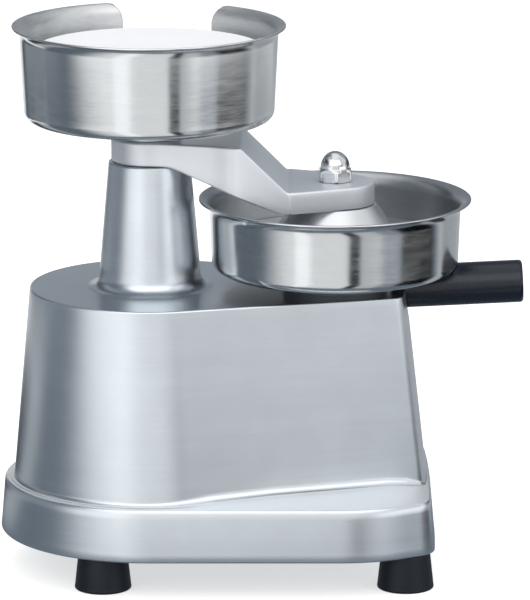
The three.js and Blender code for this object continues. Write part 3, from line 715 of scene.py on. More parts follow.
CAST = MetalFinish(
    "cast_aluminium_satin", (0.655, 0.703, 0.745), 0.32, Brushing.LENGTHWISE, mark=0.07,
    relief=0.0000008, cloud=0.012, tint=0.12, streaks=8.0, wear=0.5)
# A lighter copy of the cast finish: painted light on the up-facing faces of the ledge.
CAST_LEDGE_PAINTED_LIGHT = MetalFinish(
    "cast_aluminium_ledge", (0.86, 0.885, 0.91), 0.50, mark=0.04, relief=0.000003, cloud=0.03,
    metallic=0.75)
# A dark copy of the cast finish: painted shade on the seat and top under the lower bowl.
CAST_PAINTED_SHADE = MetalFinish("cast_aluminium_raw", (0.22, 0.23, 0.24), 0.6, relief=0.00004)
ARM_CAST = MetalFinish(
    "cast_aluminium_arm", (0.73, 0.76, 0.80), 0.42, mark=0.04, relief=0.000004, cloud=0.03,
    wear=0.8, metallic=0.7)
SHEET_LOW = MetalFinish(
    "stainless_brushed_low", (0.64, 0.662, 0.675), 0.17, Brushing.ROUND, BOWL_AXIS,
    anisotropy=0.75, mark=0.11, relief=0.000003, cloud=0.03, tint=0.10)
# A darker copy of the bowl's steel: painted shade on the lower bowl's inside.
SHEET_LOW_INSIDE_SHADED = MetalFinish(
    "stainless_inside_low", (0.55, 0.57, 0.59), 0.35, Brushing.ROUND, BOWL_AXIS,
    anisotropy=0.5, mark=0.10, relief=0.0000015, cloud=0.02, tint=0.24)
SHEET_TOP = replace(SHEET_LOW, name="stainless_brushed_top", centre=COLUMN_AXIS)
# A lighter copy of the bowl's steel: painted light on the upper bowl's inside.
SHEET_TOP_INSIDE_LIT = MetalFinish(
    "stainless_inside_top", (0.74, 0.752, 0.76), 0.46, Brushing.ROUND, COLUMN_AXIS,
    anisotropy=0.4, mark=0.20, relief=0.000006, cloud=0.05, tint=0.22)
# A dark copy of the bowl's steel: painted shade on the lower bowl's underside.
SHEET_UNDER_PAINTED_SHADE = MetalFinish("stainless_dull", (0.26, 0.27, 0.28), 0.5, Brushing.ROUND, BOWL_AXIS)
TURNED = MetalFinish(
    "aluminium_turned", (0.68, 0.70, 0.72), 0.35, Brushing.ROUND, BOWL_AXIS, mark=0.06,
    cloud=0.03)
POLISHED = MetalFinish(
    "steel_polished", (0.62, 0.63, 0.645), 0.15, Brushing.ROUND, BOWL_AXIS, mark=0.03,
    cloud=0.02)
STEEL = MetalFinish(
    "steel_machined", (0.52, 0.53, 0.54), 0.34, Brushing.ROUND, COLUMN_AXIS, cloud=0.02)
BRONZE = MetalFinish(
    "bronze_machined", (0.60, 0.42, 0.20), 0.36, Brushing.ROUND, COLUMN_AXIS, cloud=0.02)
PLASTIC = PlainFinish("black_plastic_satin", (0.005, 0.010, 0.020), 0.27, specular=0.42)
RUBBER = PlainFinish(
    "black_rubber_matt", (0.004, 0.008, 0.015), 0.42, relief=0.00003, specular=0.45)
PAPER = PlainFinish(
    "paper_white", (0.87, 0.885, 0.91), 0.9, grain_size=700.0, relief=0.00001, variation=0.02,
    specular=0.2)


class Wardrobe:
    """Builds each finish once and hands it to the pieces."""

    def __init__(self) -> None:
        """Starts with no finish built."""
        self.built: dict[str, bpy.types.Material] = {}

    def material(self, finish: Finish) -> bpy.types.Material:
        """The material of a finish, built the first time that it is asked for.

        Args:
            finish: the finish.

        Returns:
            Its material.
        """
        if finish.name not in self.built:
            self.built[finish.name] = finish.build()
        return self.built[finish.name]


WARDROBE = Wardrobe()


def dress(thing: Piece, finish: Finish, body: Body, slot: str, *nodes: str) -> Piece:
    """Gives a new piece its finish, its body and the CAD nodes that it stands for.

    Args:
        thing: the piece.
        finish: what its surface looks like.
        body: what it moves with.
        slot: the record's material slot; not used.
        nodes: the CAD nodes that it replaces.

    Returns:
        The same piece.
    """
    thing.data.materials.clear()
    thing.data.materials.append(WARDROBE.material(finish))
    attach(thing, body.value)
    if nodes:
        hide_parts(*nodes)
    log.info("%s: %d faces on %s", thing.name, len(thing.data.polygons), body.value)
    return thing


def paint_light_and_shade(
        thing: Piece, finish: Finish, chosen: Callable[[Vector, Vector], bool]) -> None:
    """Gives the faces that a rule picks a lighter or darker copy of a finish, in a further slot:
    painted light and shade.

    Args:
        thing: the piece.
        finish: the lighter or darker copy for these faces.
        chosen: the rule, from a face's middle in millimetres and its normal.
    """
    thing.data.materials.append(WARDROBE.material(finish))
    index = len(thing.data.materials) - 1
    for face in thing.data.polygons:
        if chosen(face.center / MM, face.normal):
            face.material_index = index


def line(thing: Piece, finish: Finish, centre: float) -> None:
    """Gives the faces of a turned vessel that look towards its axis or up a lighter or darker copy
    of its finish: painted light and shade.

    Args:
        thing: the vessel.
        finish: the lighter or darker copy for its inside.
        centre: where its axis stands along the press.
    """
    facing_in, facing_up = 1e-3, 0.5

    def inner(place: Vector, normal: Vector) -> bool:
        """Whether a face looks towards the axis or up."""
        inwards = -(normal.x * (place.x - COLUMN_X - centre) + normal.y * place.y)
        return inwards > facing_in or normal.z > facing_up

    paint_light_and_shade(thing, finish, inner)


def from_bowl(place: Vector) -> float:
    """How far a place of the frame, in millimetres, is from the lower bowl's axis."""
    return math.hypot(place.x - COLUMN_X - BOWL_SPACING, place.y)


def paint(node: str, finish: Finish) -> None:
    """Gives a CAD node that stays its finish.

    Args:
        node: the node's name.
        finish: what its surface looks like.
    """
    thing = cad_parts[node]
    material = WARDROBE.material(finish)
    if not thing.material_slots:
        thing.data.materials.append(material)
    for place in thing.material_slots:
        place.material = material
    log.info("%s: CAD shape, %s", node, finish.name)


# ---------------------------------------------------------------- geometry nodes


def close_tree(wiring: Wiring, result: Socket) -> Tree:
    """Ends a tree in Realize Instances and Set Material.

    Args:
        wiring: the tree's wiring.
        result: the geometry that it has made.

    Returns:
        The finished tree.
    """
    solid = wiring.get("GeometryNodeRealizeInstances", Geometry=result)
    dressed = wiring.get(
        "GeometryNodeSetMaterial", Geometry=solid, Material=wiring.source["Finish"])
    wiring.feed(wiring.sink, Geometry=dressed)
    return wiring.tree


def copies_tree() -> Tree:
    """Geometry Nodes that set copies of a part on the points of a mesh.

    Returns:
        The tree: Places, Part, Finish, Turn (largest turn about Z), Shrink (largest loss of
        size) and Seed in; Geometry out.
    """
    wiring = new_tree(SHAPE, "copies_on_places", {
        "Places": (GEOMETRY, None), "Part": (OBJECT, None), "Finish": (MATERIAL, None),
        "Turn": (FLOAT, None), "Shrink": (FLOAT, None), "Seed": (INTEGER, None)},
        {"Geometry": GEOMETRY})
    source = wiring.source
    part = wiring.feed(wiring.add("GeometryNodeObjectInfo"), Object=source["Part"])

    def random_to(limit: str) -> Socket:
        """A random number from 0 to one of the tree's inputs."""
        node = wiring.add("FunctionNodeRandomValue")
        return wiring.feed(node, i2=0.0, i3=source[limit], Seed=source["Seed"]).outputs[1]

    size = wiring.math("SUBTRACT", 1.0, random_to("Shrink"))
    return close_tree(wiring, wiring.get(
        "GeometryNodeInstanceOnPoints", Points=source["Places"],
        Instance=part.outputs["Geometry"],
        Rotation=wiring.get("CombineXYZ", Z=random_to("Turn")),
        Scale=wiring.get("CombineXYZ", X=size, Y=size, Z=1.0)))


def spin_tree() -> Tree:
    """Geometry Nodes that turn a closed profile about a vertical axis.

    A grid has one row of points for each point of the profile and one for each segment.

    Returns:
        The tree: Profile (its points in order, X the radius), Segments, Axis and Finish in;
        Geometry out.
    """
    wiring = new_tree(SHAPE, "turned_profile", {
        "Profile": (GEOMETRY, None), "Segments": (INTEGER, None), "Axis": (VECTOR, None),
        "Finish": (MATERIAL, None)}, {"Geometry": GEOMETRY})
    source = wiring.source
    size = wiring.feed(
        wiring.add("GeometryNodeAttributeDomainSize"), Geometry=source["Profile"])
    count = size.outputs["Point Count"]
    around = wiring.math("ADD", source["Segments"], 1.0)
    grid = wiring.feed(
        wiring.add("GeometryNodeMeshGrid"), Vertices_X=wiring.math("ADD", count, 1.0),
        Vertices_Y=around)
    index = wiring.add("GeometryNodeInputIndex").outputs[0]
    row = wiring.math("FLOOR", wiring.math("DIVIDE", wiring.math("ADD", index, 0.5), around))
    column = wiring.math("SUBTRACT", index, wiring.math("MULTIPLY", row, around))
    sample = wiring.add("GeometryNodeSampleIndex", data_type="FLOAT_VECTOR")
    wiring.feed(
        sample, Geometry=source["Profile"], Value=wiring.get("GeometryNodeInputPosition"),
        Index=wiring.math("MODULO", row, count))
    point = wiring.parts(sample.outputs[0])
    angle = wiring.math(
        "DIVIDE", wiring.math("MULTIPLY", column, 2 * math.pi), source["Segments"])
    place = wiring.get(
        "CombineXYZ", Z=point["Z"],
        X=wiring.math("MULTIPLY", point["X"], wiring.math("COSINE", angle)),
        Y=wiring.math("MULTIPLY", point["X"], wiring.math("SINE", angle)))
    skin = wiring.get(
        "GeometryNodeSetPosition", Geometry=grid.outputs["Mesh"],
        Position=wiring.vector("ADD", place, source["Axis"]))
    return close_tree(wiring, wiring.get(
        "GeometryNodeMergeByDistance", Geometry=skin, Distance=1e-7))


COPIES = copies_tree()
SPIN = spin_tree()


def made_by(
        tree: Tree, name: str, points: Sequence[Sequence[float]],
        values: dict[str, object]) -> Piece:
    """Runs a tree on a mesh of points and keeps what it makes as a plain mesh.

    Args:
        tree: the Geometry Nodes tree.
        name: the new piece's name.
        points: the points in metres.
        values: input name to value.

    Returns:
        The piece.
    """
    seeds = bpy.data.meshes.new(f"{name}_points")
    seeds.from_pydata(points, [], [])
    thing = linked(name, seeds)
    modifier = thing.modifiers.new("maker", "NODES")
    modifier.node_group = tree
    for item in tree.interface.items_tree:
        if item.in_out == "INPUT" and item.name in values:
            modifier[item.identifier] = values[item.name]
    bake(thing, modifier)
    clean(thing.data)
    return thing


def copies(
        name: str, shell: Shell, places: Sequence[Sequence[float]], finish: Finish,
        turn: float = 0.0, shrink: float = 0.0, seed: int = 7) -> Piece:
    """Sets copies of one part on places, as one mesh.

    Args:
        name: the new piece's name.
        shell: the part about its own origin.
        places: where each copy stands, from the column axis.
        finish: what they look like.
        turn: largest random turn about the vertical, in radians.
        shrink: largest random loss of radius, as a share.
        seed: seed of both.

    Returns:
        The piece.
    """
    part = mesh_object(f"{name}_part", from_origin(shell))
    points = [((x + COLUMN_X) * MM, y * MM, z * MM) for x, y, z in places]
    thing = made_by(COPIES, name, points, {
        "Part": part, "Finish": WARDROBE.material(finish), "Turn": turn, "Shrink": shrink,
        "Seed": seed})
    bpy.data.objects.remove(part)
    return thing


def spun(
        name: str, profile: Sequence[Point], segments: int, centre: float,
        finish: Finish) -> Piece:
    """Turns a closed profile about a vertical axis.

    Args:
        name: the new piece's name.
        profile: (radius, height) of its points in order.
        segments: facets round a full turn.
        centre: where the axis stands along the press.
        finish: what it looks like.

    Returns:
        The piece.
    """
    points = [(radius * MM, 0.0, height * MM) for radius, height in profile]
    axis = ((centre + COLUMN_X) * MM, 0.0, 0.0)
    return made_by(SPIN, name, points, {
        "Segments": segments, "Axis": axis, "Finish": WARDROBE.material(finish)})


# ---------------------------------------------------------------- sub-assemblies


@dataclass
class Base:
    """The casting with its feet, and what is fixed to it."""

    foot_height: float = 22.0
    flange_radius: float = 87.5
    flange_height: float = 30.7
    flange_draft: float = 2.7
    flange_edge: float = 1.0
    bend_start: float = 109.0
    bend_radius: float = 76.0
    bend_angle: float = math.pi / 6
    flange_corner: float = 16.0
    flange_end: float = 163.8
    flange_bulge: float = 1.2
    ledge_round: float = 2.0
    ledge_slope: float = 0.10
    # Least and most that the ledge rises, and of the fillet at its foot.
    ledge_rise: Point = (0.2, 2.2)
    fillet_share: float = 0.35
    fillet_start: float = 1.6
    fillet_limit: float = 0.9
    foot_fillet: Point = (0.9, 5.5)
    ledge_blend: float = 6.0
    wall_start: float = 56.7
    body_top: float = 164.5
    # Radius of the wall's round end, reach of its flat end and that end's half width.
    wall_foot: tuple[float, float, float] = (79.1, 157.8, 33.0)
    wall_top: tuple[float, float, float] = (69.6, 145.6, 32.0)
    wall_corner: float = 6.0
    wall_bulge: float = 2.2
    top_edge: float = 1.2
    wall: float = 5.0
    column_height: float = 73.5
    column_foot: float = 29.9
    column_top: float = 23.6
    column_fillet: float = 8.0
    bore: float = 14.0
    tube_wall: float = 5.0
    tube_depth: float = 40.5
    bush_hole: float = 13.3
    boss_radius: float = 20.0
    boss_depth: float = 12.5
    seat_radius: float = 30.0
    seat_hole: float = 25.5
    seat_depth: float = 4.0
    seat_gap: float = 0.3
    bowl_lift: float = 9.9
    slot_half: float = 13.5
    slot_span: Point = (137.0, 175.0)
    slot_drop: float = 20.5
    slot_above: float = 6.0
    # Steps of an outline's round end, side, bend, slant and corner.
    counts: tuple[int, int, int, int, int] = (56, 44, 14, 10, 12)
    feet: tuple[Point, ...] = ((-26.5, -59.5), (-26.5, 59.5), (147.0, -58.0), (147.0, 58.0))
    foot_hole: float = 3.3
    # Radius and height of the boss over a foot, and how far its web goes at left and right.
    foot_boss: Point = (11.0, 26.0)
    web_reach: Point = (18.5, 13.5)
    web_half: float = 4.0
    lugs: tuple[Point, Point] = ((13.7, 19.7), (-19.7, -13.7))
    lug_radius: float = 8.0
    pin: Point = (134.5, 146.0)

    def flange(self, inset: float) -> np.ndarray:
        """The flange's plan outline, moved in.

        Args:
            inset: how far.

        Returns:
            Rows of (x, y).
        """
        left, side, bend_steps, slant, corner_steps = self.counts
        radius, bend_radius, corner = (
            self.flange_radius - inset, self.bend_radius - inset, self.flange_corner - inset)
        turn = 3 * QUARTER + self.bend_angle
        bend = arc(
            self.bend_start, bend_radius - radius, bend_radius, 3 * QUARTER, turn, bend_steps)
        end = bend[-1]
        corner_x = self.flange_end - inset - corner
        corner_y = (
            end[1] + (corner_x - end[0]) * math.tan(self.bend_angle)
            + corner / math.cos(self.bend_angle))
        corner_arc = arc(corner_x, corner_y, corner, turn, 4 * QUARTER, corner_steps)
        return mirrored([
            *arc(0, 0, radius, 2 * QUARTER, 3 * QUARTER, left)[:-1],
            *run((0, -radius), bend[0], side),
            *bend[:-1],
            *run(end, corner_arc[0], slant),
            *corner_arc[:-1],
            *bulging_end(corner_arc[-1], self.flange_bulge, corner_steps),
        ])

    def wall_outline(self, share: float, out: float) -> np.ndarray:
        """The body wall's plan outline at a share of its height.

        Args:
            share: 0 at its foot, 1 at its top.
            out: how far the outline is moved out.

        Returns:
            Rows of (x, y).
        """
        left, side, bend_steps, slant, corner_steps = self.counts
        plain, end, half = (
            foot + (top - foot) * share for foot, top in zip(self.wall_foot, self.wall_top))
        taper = math.asin(plain / math.hypot(end, half)) - math.atan2(half, end)
        radius, corner, turn = plain + out, self.wall_corner + out, 3 * QUARTER + taper
        arc_left = arc(0, 0, radius, 2 * QUARTER, turn, left)
        corner_x = end - self.wall_corner
        corner_y = (corner_x * math.sin(taper) + corner - radius) / math.cos(taper)
        corner_arc = arc(corner_x, corner_y, corner, turn, 4 * QUARTER, corner_steps)
        return mirrored([
            *arc_left[:-1],
            *run(arc_left[-1], corner_arc[0], side + bend_steps + slant),
            *corner_arc[:-1],
            *bulging_end(corner_arc[-1], self.wall_bulge, corner_steps),
        ])

    def circle(self, radius: float, height: float) -> np.ndarray:
        """A ring about the column axis whose points face those of the wall's top.

        Args:
            radius, height: its radius and height.

        Returns:
            Rows of (x, y, z).
        """
        top = self.wall_outline(1, 0)
        directions = top / np.linalg.norm(top, axis=1, keepdims=True)
        return level(directions * radius, height)

    def outside(self) -> list[np.ndarray]:
        """Rings of the casting's outside, from its lower edge to the column's top.

        Returns:
            The rings in order.
        """
        bottom, top = self.foot_height, self.foot_height + self.flange_height
        drop = self.flange_draft / self.flange_height
        rings = []
        low = self.flange_edge
        for inset, height in arc(low, bottom + low, low, 3 * QUARTER, 2 * QUARTER, 5):
            rings.append(level(self.flange(inset), height))
        straight = self.flange_height - self.ledge_round
        for height in low + steps_to(straight - low, 7):
            rings.append(level(self.flange(drop * height), bottom + height))
        for a in steps_to(QUARTER, 8):
            inset = self.flange_draft + self.ledge_round * (1 - math.cos(a))
            rings.append(level(self.flange(inset), top - self.ledge_round * (1 - math.sin(a))))
        ledge_in = self.flange(self.flange_draft + self.ledge_round + GUARD)
        rings.append(level(ledge_in, top))
        rings.extend(self.ledge_and_wall(rings[-1]))
        high = self.body_top - self.top_edge
        for a in steps_to(QUARTER, 7):
            out = -self.top_edge * (1 - math.cos(a))
            rings.append(level(self.wall_outline(1, out), high + self.top_edge * math.sin(a)))
        rings.append(level(self.wall_outline(1, -self.top_edge - GUARD), self.body_top))
        rings.extend(self.top_and_column(rings[-1]))
        return rings

    def ledge_and_wall(self, edge: np.ndarray) -> list[np.ndarray]:
        """Rings from the flange's edge over its ledge, round the fillet and up the wall.

        The ledge rises and the fillet grows where the ledge is wide.

        Args:
            edge: the ring at the ledge's outer edge.

        Returns:
            The rings in order.
        """
        low_wall, high_wall = self.wall_outline(0, 0), self.wall_outline(1, 0)
        outwards = self.wall_outline(0, 1) - low_wall
        top, high = edge[0, 2], self.body_top - self.top_edge
        gaps = np.linalg.norm(low_wall[:, None, :] - edge[None, :, :2], axis=2).min(axis=1)
        around = np.roll(low_wall, -1, axis=0) - np.roll(low_wall, 1, axis=0)
        spacing = np.linalg.norm(around, axis=1)
        apart = np.linalg.norm(low_wall[:, None, :] - low_wall[None, :, :], axis=2)
        weight = np.exp(-(apart / self.ledge_blend) ** 2) * spacing[None, :]
        width = weight @ gaps / weight.sum(axis=1)
        rise = np.clip(self.ledge_slope * width, *self.ledge_rise)
        fillet = np.clip(self.fillet_share * width + self.fillet_start, *self.foot_fillet)
        fillet = np.minimum(fillet, self.fillet_limit * width)
        start = top + rise + fillet

        def wall_at(height: np.ndarray) -> np.ndarray:
            """The wall's outline, with a height of its own for each point."""
            share = ((height - self.wall_start) / (high - self.wall_start))[:, None]
            return low_wall + (high_wall - low_wall) * share

        foot = wall_at(start)
        inner = np.column_stack((foot + outwards * fillet[:, None], top + rise))
        rings = blended(edge, inner, 7)
        for a in steps_to(QUARTER, 12):
            plan = foot + outwards * (fillet * (1 - math.sin(a)))[:, None]
            rings.append(np.column_stack((plan, top + rise + fillet * (1 - math.cos(a)))))
        for share in steps_to(1, 25):
            height = start + (high - start) * share
            rings.append(np.column_stack((wall_at(height), height)))
        return rings

    def top_and_column(self, edge: np.ndarray) -> list[np.ndarray]:
        """Rings from the top's edge over its face and up the column.

        Args:
            edge: the ring at the top's edge.

        Returns:
            The rings in order.
        """
        slope = (self.column_foot - self.column_top) / self.column_height
        fillet = self.column_fillet
        reach = self.column_foot - slope * fillet + fillet
        rings = blended(edge, self.circle(reach + GUARD, self.body_top), 21)
        lean = math.atan(slope)
        for a in np.linspace(0, QUARTER - lean, 11):
            radius = reach - fillet * math.sin(a)
            rings.append(self.circle(radius, self.body_top + fillet * (1 - math.cos(a))))
        foot_radius = reach - fillet * math.sin(QUARTER - lean)
        foot_height = self.body_top + fillet * (1 - math.cos(QUARTER - lean))
        top, radius = self.body_top + self.column_height, self.column_top
        edge_round, chamfer = 1, 0.5
        straight = top - edge_round - foot_height
        for share in steps_to(1, 13):
            rings.append(self.circle(
                foot_radius + (radius - foot_radius) * share, foot_height + straight * share))
        for a in steps_to(QUARTER, 5):
            rings.append(self.circle(
                radius - edge_round * (1 - math.cos(a)), top - edge_round * (1 - math.sin(a))))
        rings.append(self.circle(self.bore + chamfer, top))
        rings.append(self.circle(self.bore, top - chamfer))
        return rings

    def inside(self) -> list[np.ndarray]:
        """Rings down the column's bore, over the hollow and back to the lower edge.

        Returns:
            The rings in order.
        """
        tube = self.bore + self.tube_wall
        low, ceiling = self.body_top - self.tube_depth, self.body_top - self.wall
        top = self.foot_height + self.flange_height
        near, far, under_ledge, under_flange, chamfer = 1, 3, 4, 6, 0.5
        down_tube = [
            (self.bore, low), (tube - near, low), (tube, low + near), (tube, ceiling - far),
            (tube + near, ceiling - near), (tube + far, ceiling)]
        rings = [self.circle(radius, height) for radius, height in down_tube]
        for share, extra, height in (
                (1, far, ceiling), (1, near, ceiling - near), (1, 0, ceiling - far),
                (0, 0, top - under_ledge)):
            rings.append(level(self.wall_outline(share, -self.wall - extra), height))
        rings.append(level(self.flange(self.wall + self.flange_draft), top - under_flange))
        rings.append(level(self.flange(self.wall), self.foot_height + chamfer))
        rings.append(level(self.flange(self.wall - chamfer), self.foot_height))
        return rings

    def fixings(self) -> list[Shell]:
        """The bowl's seat and its boss, the feet's bosses and webs, and the pin's lugs.

        Returns:
            Their shells.
        """
        top, hole = self.body_top, self.bush_hole
        seat_low, seat_top = top - self.wall / 2, top + self.bowl_lift - self.seat_gap
        seat = rounded([
            (hole, seat_low, 0), (self.seat_radius, seat_low, 0),
            (self.seat_radius, seat_top, 0.6), (self.seat_hole, seat_top, 0),
            (self.seat_hole, seat_top - self.seat_depth, 0), (hole, seat_top - self.seat_depth, 0)])
        boss_low, boss_top = top - self.boss_depth, top - 3
        boss = rounded([
            (hole, boss_low, 0), (self.boss_radius, boss_low, 1),
            (self.boss_radius, boss_top, 0), (hole, boss_top, 0)])
        shells = [lathe(seat, 96, BOWL_SPACING), lathe(boss, 64, BOWL_SPACING)]
        radius, height = self.foot_boss
        low, high = self.foot_height, self.foot_height + height
        stud = lathe(rounded([
            (self.foot_hole, low, 0), (radius, low, 0.8), (radius, high, 0.8),
            (self.foot_hole, high, 0)]), 40)
        for x, y in self.feet:
            shells.append(turned(stud, "Z", 0, (x, y, 0)))
            near, far = sorted((y, y + math.copysign(self.web_reach[x > 0], y)))
            shells.append(
                block((x - self.web_half, near, low + 1), (x + self.web_half, far, high - 1)))
        x, z = self.pin
        radius = self.lug_radius
        for near, far in self.lugs:
            eye = rounded([(0, near, 0), (radius, near, 0.5), (radius, far, 0.5), (0, far, 0)])
            shells.append(turned(lathe(eye, 40), "X", -QUARTER, (x, 0, z)))
            shells.append(block((x - radius, near, z), (x + radius, far, top - self.wall / 2)))
        return shells

    def casting(self) -> Piece:
        """Builds the casting.

        Returns:
            The finished piece.
        """
        thing = mesh_object("base_casting", loft([*self.outside(), *self.inside()], closed=True))
        self.cut_slot(thing)
        add_shells(thing, joined(self.fixings()))
        dress(thing, CAST, Body.BASE, "cast_aluminium", "body_casting")
        over_top, seat_out = self.body_top + 0.5, self.seat_radius + 1
        under_wall, facing_up = self.wall_start + 6.0, 0.85
        # Painted shade on the seat and top under the lower bowl.
        paint_light_and_shade(
            thing, CAST_PAINTED_SHADE, lambda place, _: place.z > over_top and from_bowl(place) < seat_out)
        # Painted light on the up-facing faces low on the casting, chiefly the ledge.
        paint_light_and_shade(
            thing, CAST_LEDGE_PAINTED_LIGHT, lambda place, normal: normal.z > facing_up and place.z < under_wall)
        return thing

    def cut_slot(self, thing: Piece) -> None:
        """Cuts the handle's slot through the end wall and the top.

        The arc's count of steps keeps its points off the wall's own edges.

        Args:
            thing: the casting.
        """
        middle, half = self.body_top - self.slot_drop + self.slot_half, self.slot_half
        outline = arc(0, middle, half, 2 * QUARTER, 4 * QUARTER, 33)
        outline += [(y, self.body_top + self.slot_above) for y in (half, -half)]
        section = np.array([(0, y, z) for y, z in outline])
        carve(thing, loft([section + (x, 0, 0) for x in self.slot_span]))

    def screw(self) -> Shell:
        """One cap screw for a foot, head down, with a six-sided socket.

        Returns:
            Its shell about its own axis.
        """
        socket, grip, head, shank = 2.9, 2.5, 5.0, 3.0
        low, under_head, tip = 5.4, 10.4, 42.0
        angles = full_turn(48)
        flat = np.mod(angles, math.pi / 3) - math.pi / 6
        six = np.minimum(grip / np.cos(flat), socket)
        return loft([hoop(radius, angles, z) for radius, z in (
            (six, low + 3.0), (six, low + 0.3), (six + 0.3, low), (head - 0.5, low),
            (head, low + 0.5), (head, under_head), (shank, under_head), (shank, tip - 0.6),
            (shank - 0.6, tip))])

    def washer(self) -> Shell:
        """One washer for a foot about its own axis."""
        hole, radius, low, high = self.foot_hole, 8.0, 10.6, 12.2
        return lathe(rounded([
            (hole, low, 0.2), (radius, low, 0.3), (radius, high, 0.3), (hole, high, 0.2)]), 64)

    def foot(self) -> Shell:
        """One rubber foot about its own axis."""
        return lathe(rounded([
            (self.foot_hole, 12.5, 0), (8.6, 12.5, 0.4), (8.6, 0, 0.5), (16.5, 0, 1.1),
            (16.1, 2.4, 0.8), (14.0, 21.7, 1.8), (self.foot_hole, 21.7, 0)]), 96)

    def build(self) -> None:
        """Builds and dresses the casting and its feet, and finishes the bushes and the pin."""
        self.casting()
        places = [(x, y, 0.0) for x, y in self.feet]
        corners = ("front_left", "back_left", "front_right", "back_right")
        for name, shell, finish, slot, node in (
                ("rubber_feet", self.foot(), RUBBER, "rubber", "foot_"),
                ("foot_washers", self.washer(), STEEL, "steel", "foot_washer_"),
                ("foot_screws", self.screw(), STEEL, "steel", "foot_screw_")):
            thing = copies(name, shell, places, finish, turn=math.pi)
            dress(thing, finish, Body.BASE, slot, *(node + corner for corner in corners))
        for node in ("upper_shaft_bush", "lower_shaft_bush", "ejector_bush"):
            paint(node, BRONZE)
        paint("lever_pin", STEEL)
        paint("lever_pin_clip", STEEL)


def sheet_profile(chain: Sequence[Point], sheet: float) -> list[Point]:
    """Gives a chain the sheet's thickness on its left, with round edges at its outer end.

    Args:
        chain: points along one face of the sheet.
        sheet: the thickness.

    Returns:
        The closed profile.
    """
    points = np.array(chain)
    ahead = np.vstack((points[1:], points[-1:]))
    behind = np.vstack((points[:1], points[:-1]))
    tangent = ahead - behind
    tangent /= np.linalg.norm(tangent, axis=1, keepdims=True)
    normal = np.column_stack((-tangent[:, 1], tangent[:, 0]))
    inner = points + normal * sheet
    middle = (points[-1] + inner[-1]) / 2
    start = math.atan2(*(points[-1] - middle)[::-1])
    cap = arc(*middle, sheet / 2, start, start + math.pi, 6)[1:-1]
    return [*map(tuple, points), *cap, *map(tuple, inner[::-1])]


@dataclass
class Bowl:
    """A bowl of one sheet, turned from its middle out to its flared lip."""

    bottom: float
    height: float
    foot_radius: float
    wall_radius: float
    lip: float
    rim_radius: float = 78.0
    corner: float = 6.0
    sheet: float = 1.2
    segments: int = 240

    def profile(self, middle: Sequence[Point]) -> list[Point]:
        """The sheet's closed profile.

        Args:
            middle: its outer points from the hole to the floor.

        Returns:
            (radius, height) of its points in order.
        """
        floor_width, guard = 30.0, 0.4
        floor_end, bend_end = self.foot_radius - self.corner, self.bottom + self.corner
        top = self.bottom + self.height - self.sheet
        chain = [
            *middle, (floor_end - floor_width, self.bottom), (floor_end - guard, self.bottom),
            *arc(floor_end, bend_end, self.corner, -QUARTER, 0, 12),
            *run((self.foot_radius, bend_end + guard),
                 (self.wall_radius, top - self.lip - guard), 12)]
        flare = self.rim_radius - self.wall_radius
        for a in np.linspace(0, QUARTER, 15):
            rise = self.lip * math.sin(a)
            chain.append((self.rim_radius - flare * math.cos(a), top - self.lip + rise))
        return sheet_profile(chain, self.sheet)


@dataclass
class FormingBowl(Bowl):
    """The lower bowl with its ring and ejector."""

    bottom: float = 174.4
    height: float = 41.8
    foot_radius: float = 71.2
    wall_radius: float = 72.2
    lip: float = 7.0
    ring_radius: float = 69.3
    ring_hole: float = 65.3
    ring_height: float = 15.9
    disc_radius: float = 64.8

    def bowl(self) -> Piece:
        """Builds the bowl.

        Returns:
            The finished piece.
        """
        low = self.bottom
        middle = [(13.3, low - 4), (22.8, low - 4), (24, low - 2.8), (24, low - 1.2), (25.2, low)]
        thing = spun("lower_bowl", self.profile(middle), self.segments, BOWL_SPACING, SHEET_LOW)
        dress(thing, SHEET_LOW, Body.BASE, "stainless", "forming_bowl")
        # Painted shade on the bowl's inside: a darker copy of its steel.
        line(thing, SHEET_LOW_INSIDE_SHADED, BOWL_SPACING)
        under, out = low + 0.5 * self.sheet, self.foot_radius - self.corner
        # Painted shade on the underside of the bowl's floor.
        paint_light_and_shade(
            thing, SHEET_UNDER_PAINTED_SHADE, lambda place, _: place.z < under and from_bowl(place) < out)
        return thing

    def build(self) -> None:
        """Builds and dresses the bowl, its ring and the ejector."""
        self.bowl()
        floor = self.bottom + self.sheet
        low, top = floor + 0.3, floor + self.ring_height
        ring = rounded([
            (self.ring_hole, low, 0), (66.2, low, 0), (self.ring_radius, floor + 5.6, 0.6),
            (self.ring_radius, top, 0.5), (self.ring_hole, top, 0.5)])
        thing = spun("patty_ring", ring, self.segments, BOWL_SPACING, TURNED)
        dress(thing, TURNED, Body.BASE, "bright_aluminium", "mould_ring")
        disc = rounded([
            (2.8, low, 0), (self.disc_radius, low, 0.3), (self.disc_radius, low + 3, 0.3),
            (5.3, low + 3, 0), (2.8, low + 0.3, 0)])
        thing = spun("ejector_disc", disc, self.segments, BOWL_SPACING, TURNED)
        dress(thing, TURNED, Body.EJECTOR, "bright_aluminium", "ejector_plate")
        paint("ejector_rod", STEEL)
        paint("ejector_screw", STEEL)


LOWER_BOWL = FormingBowl()


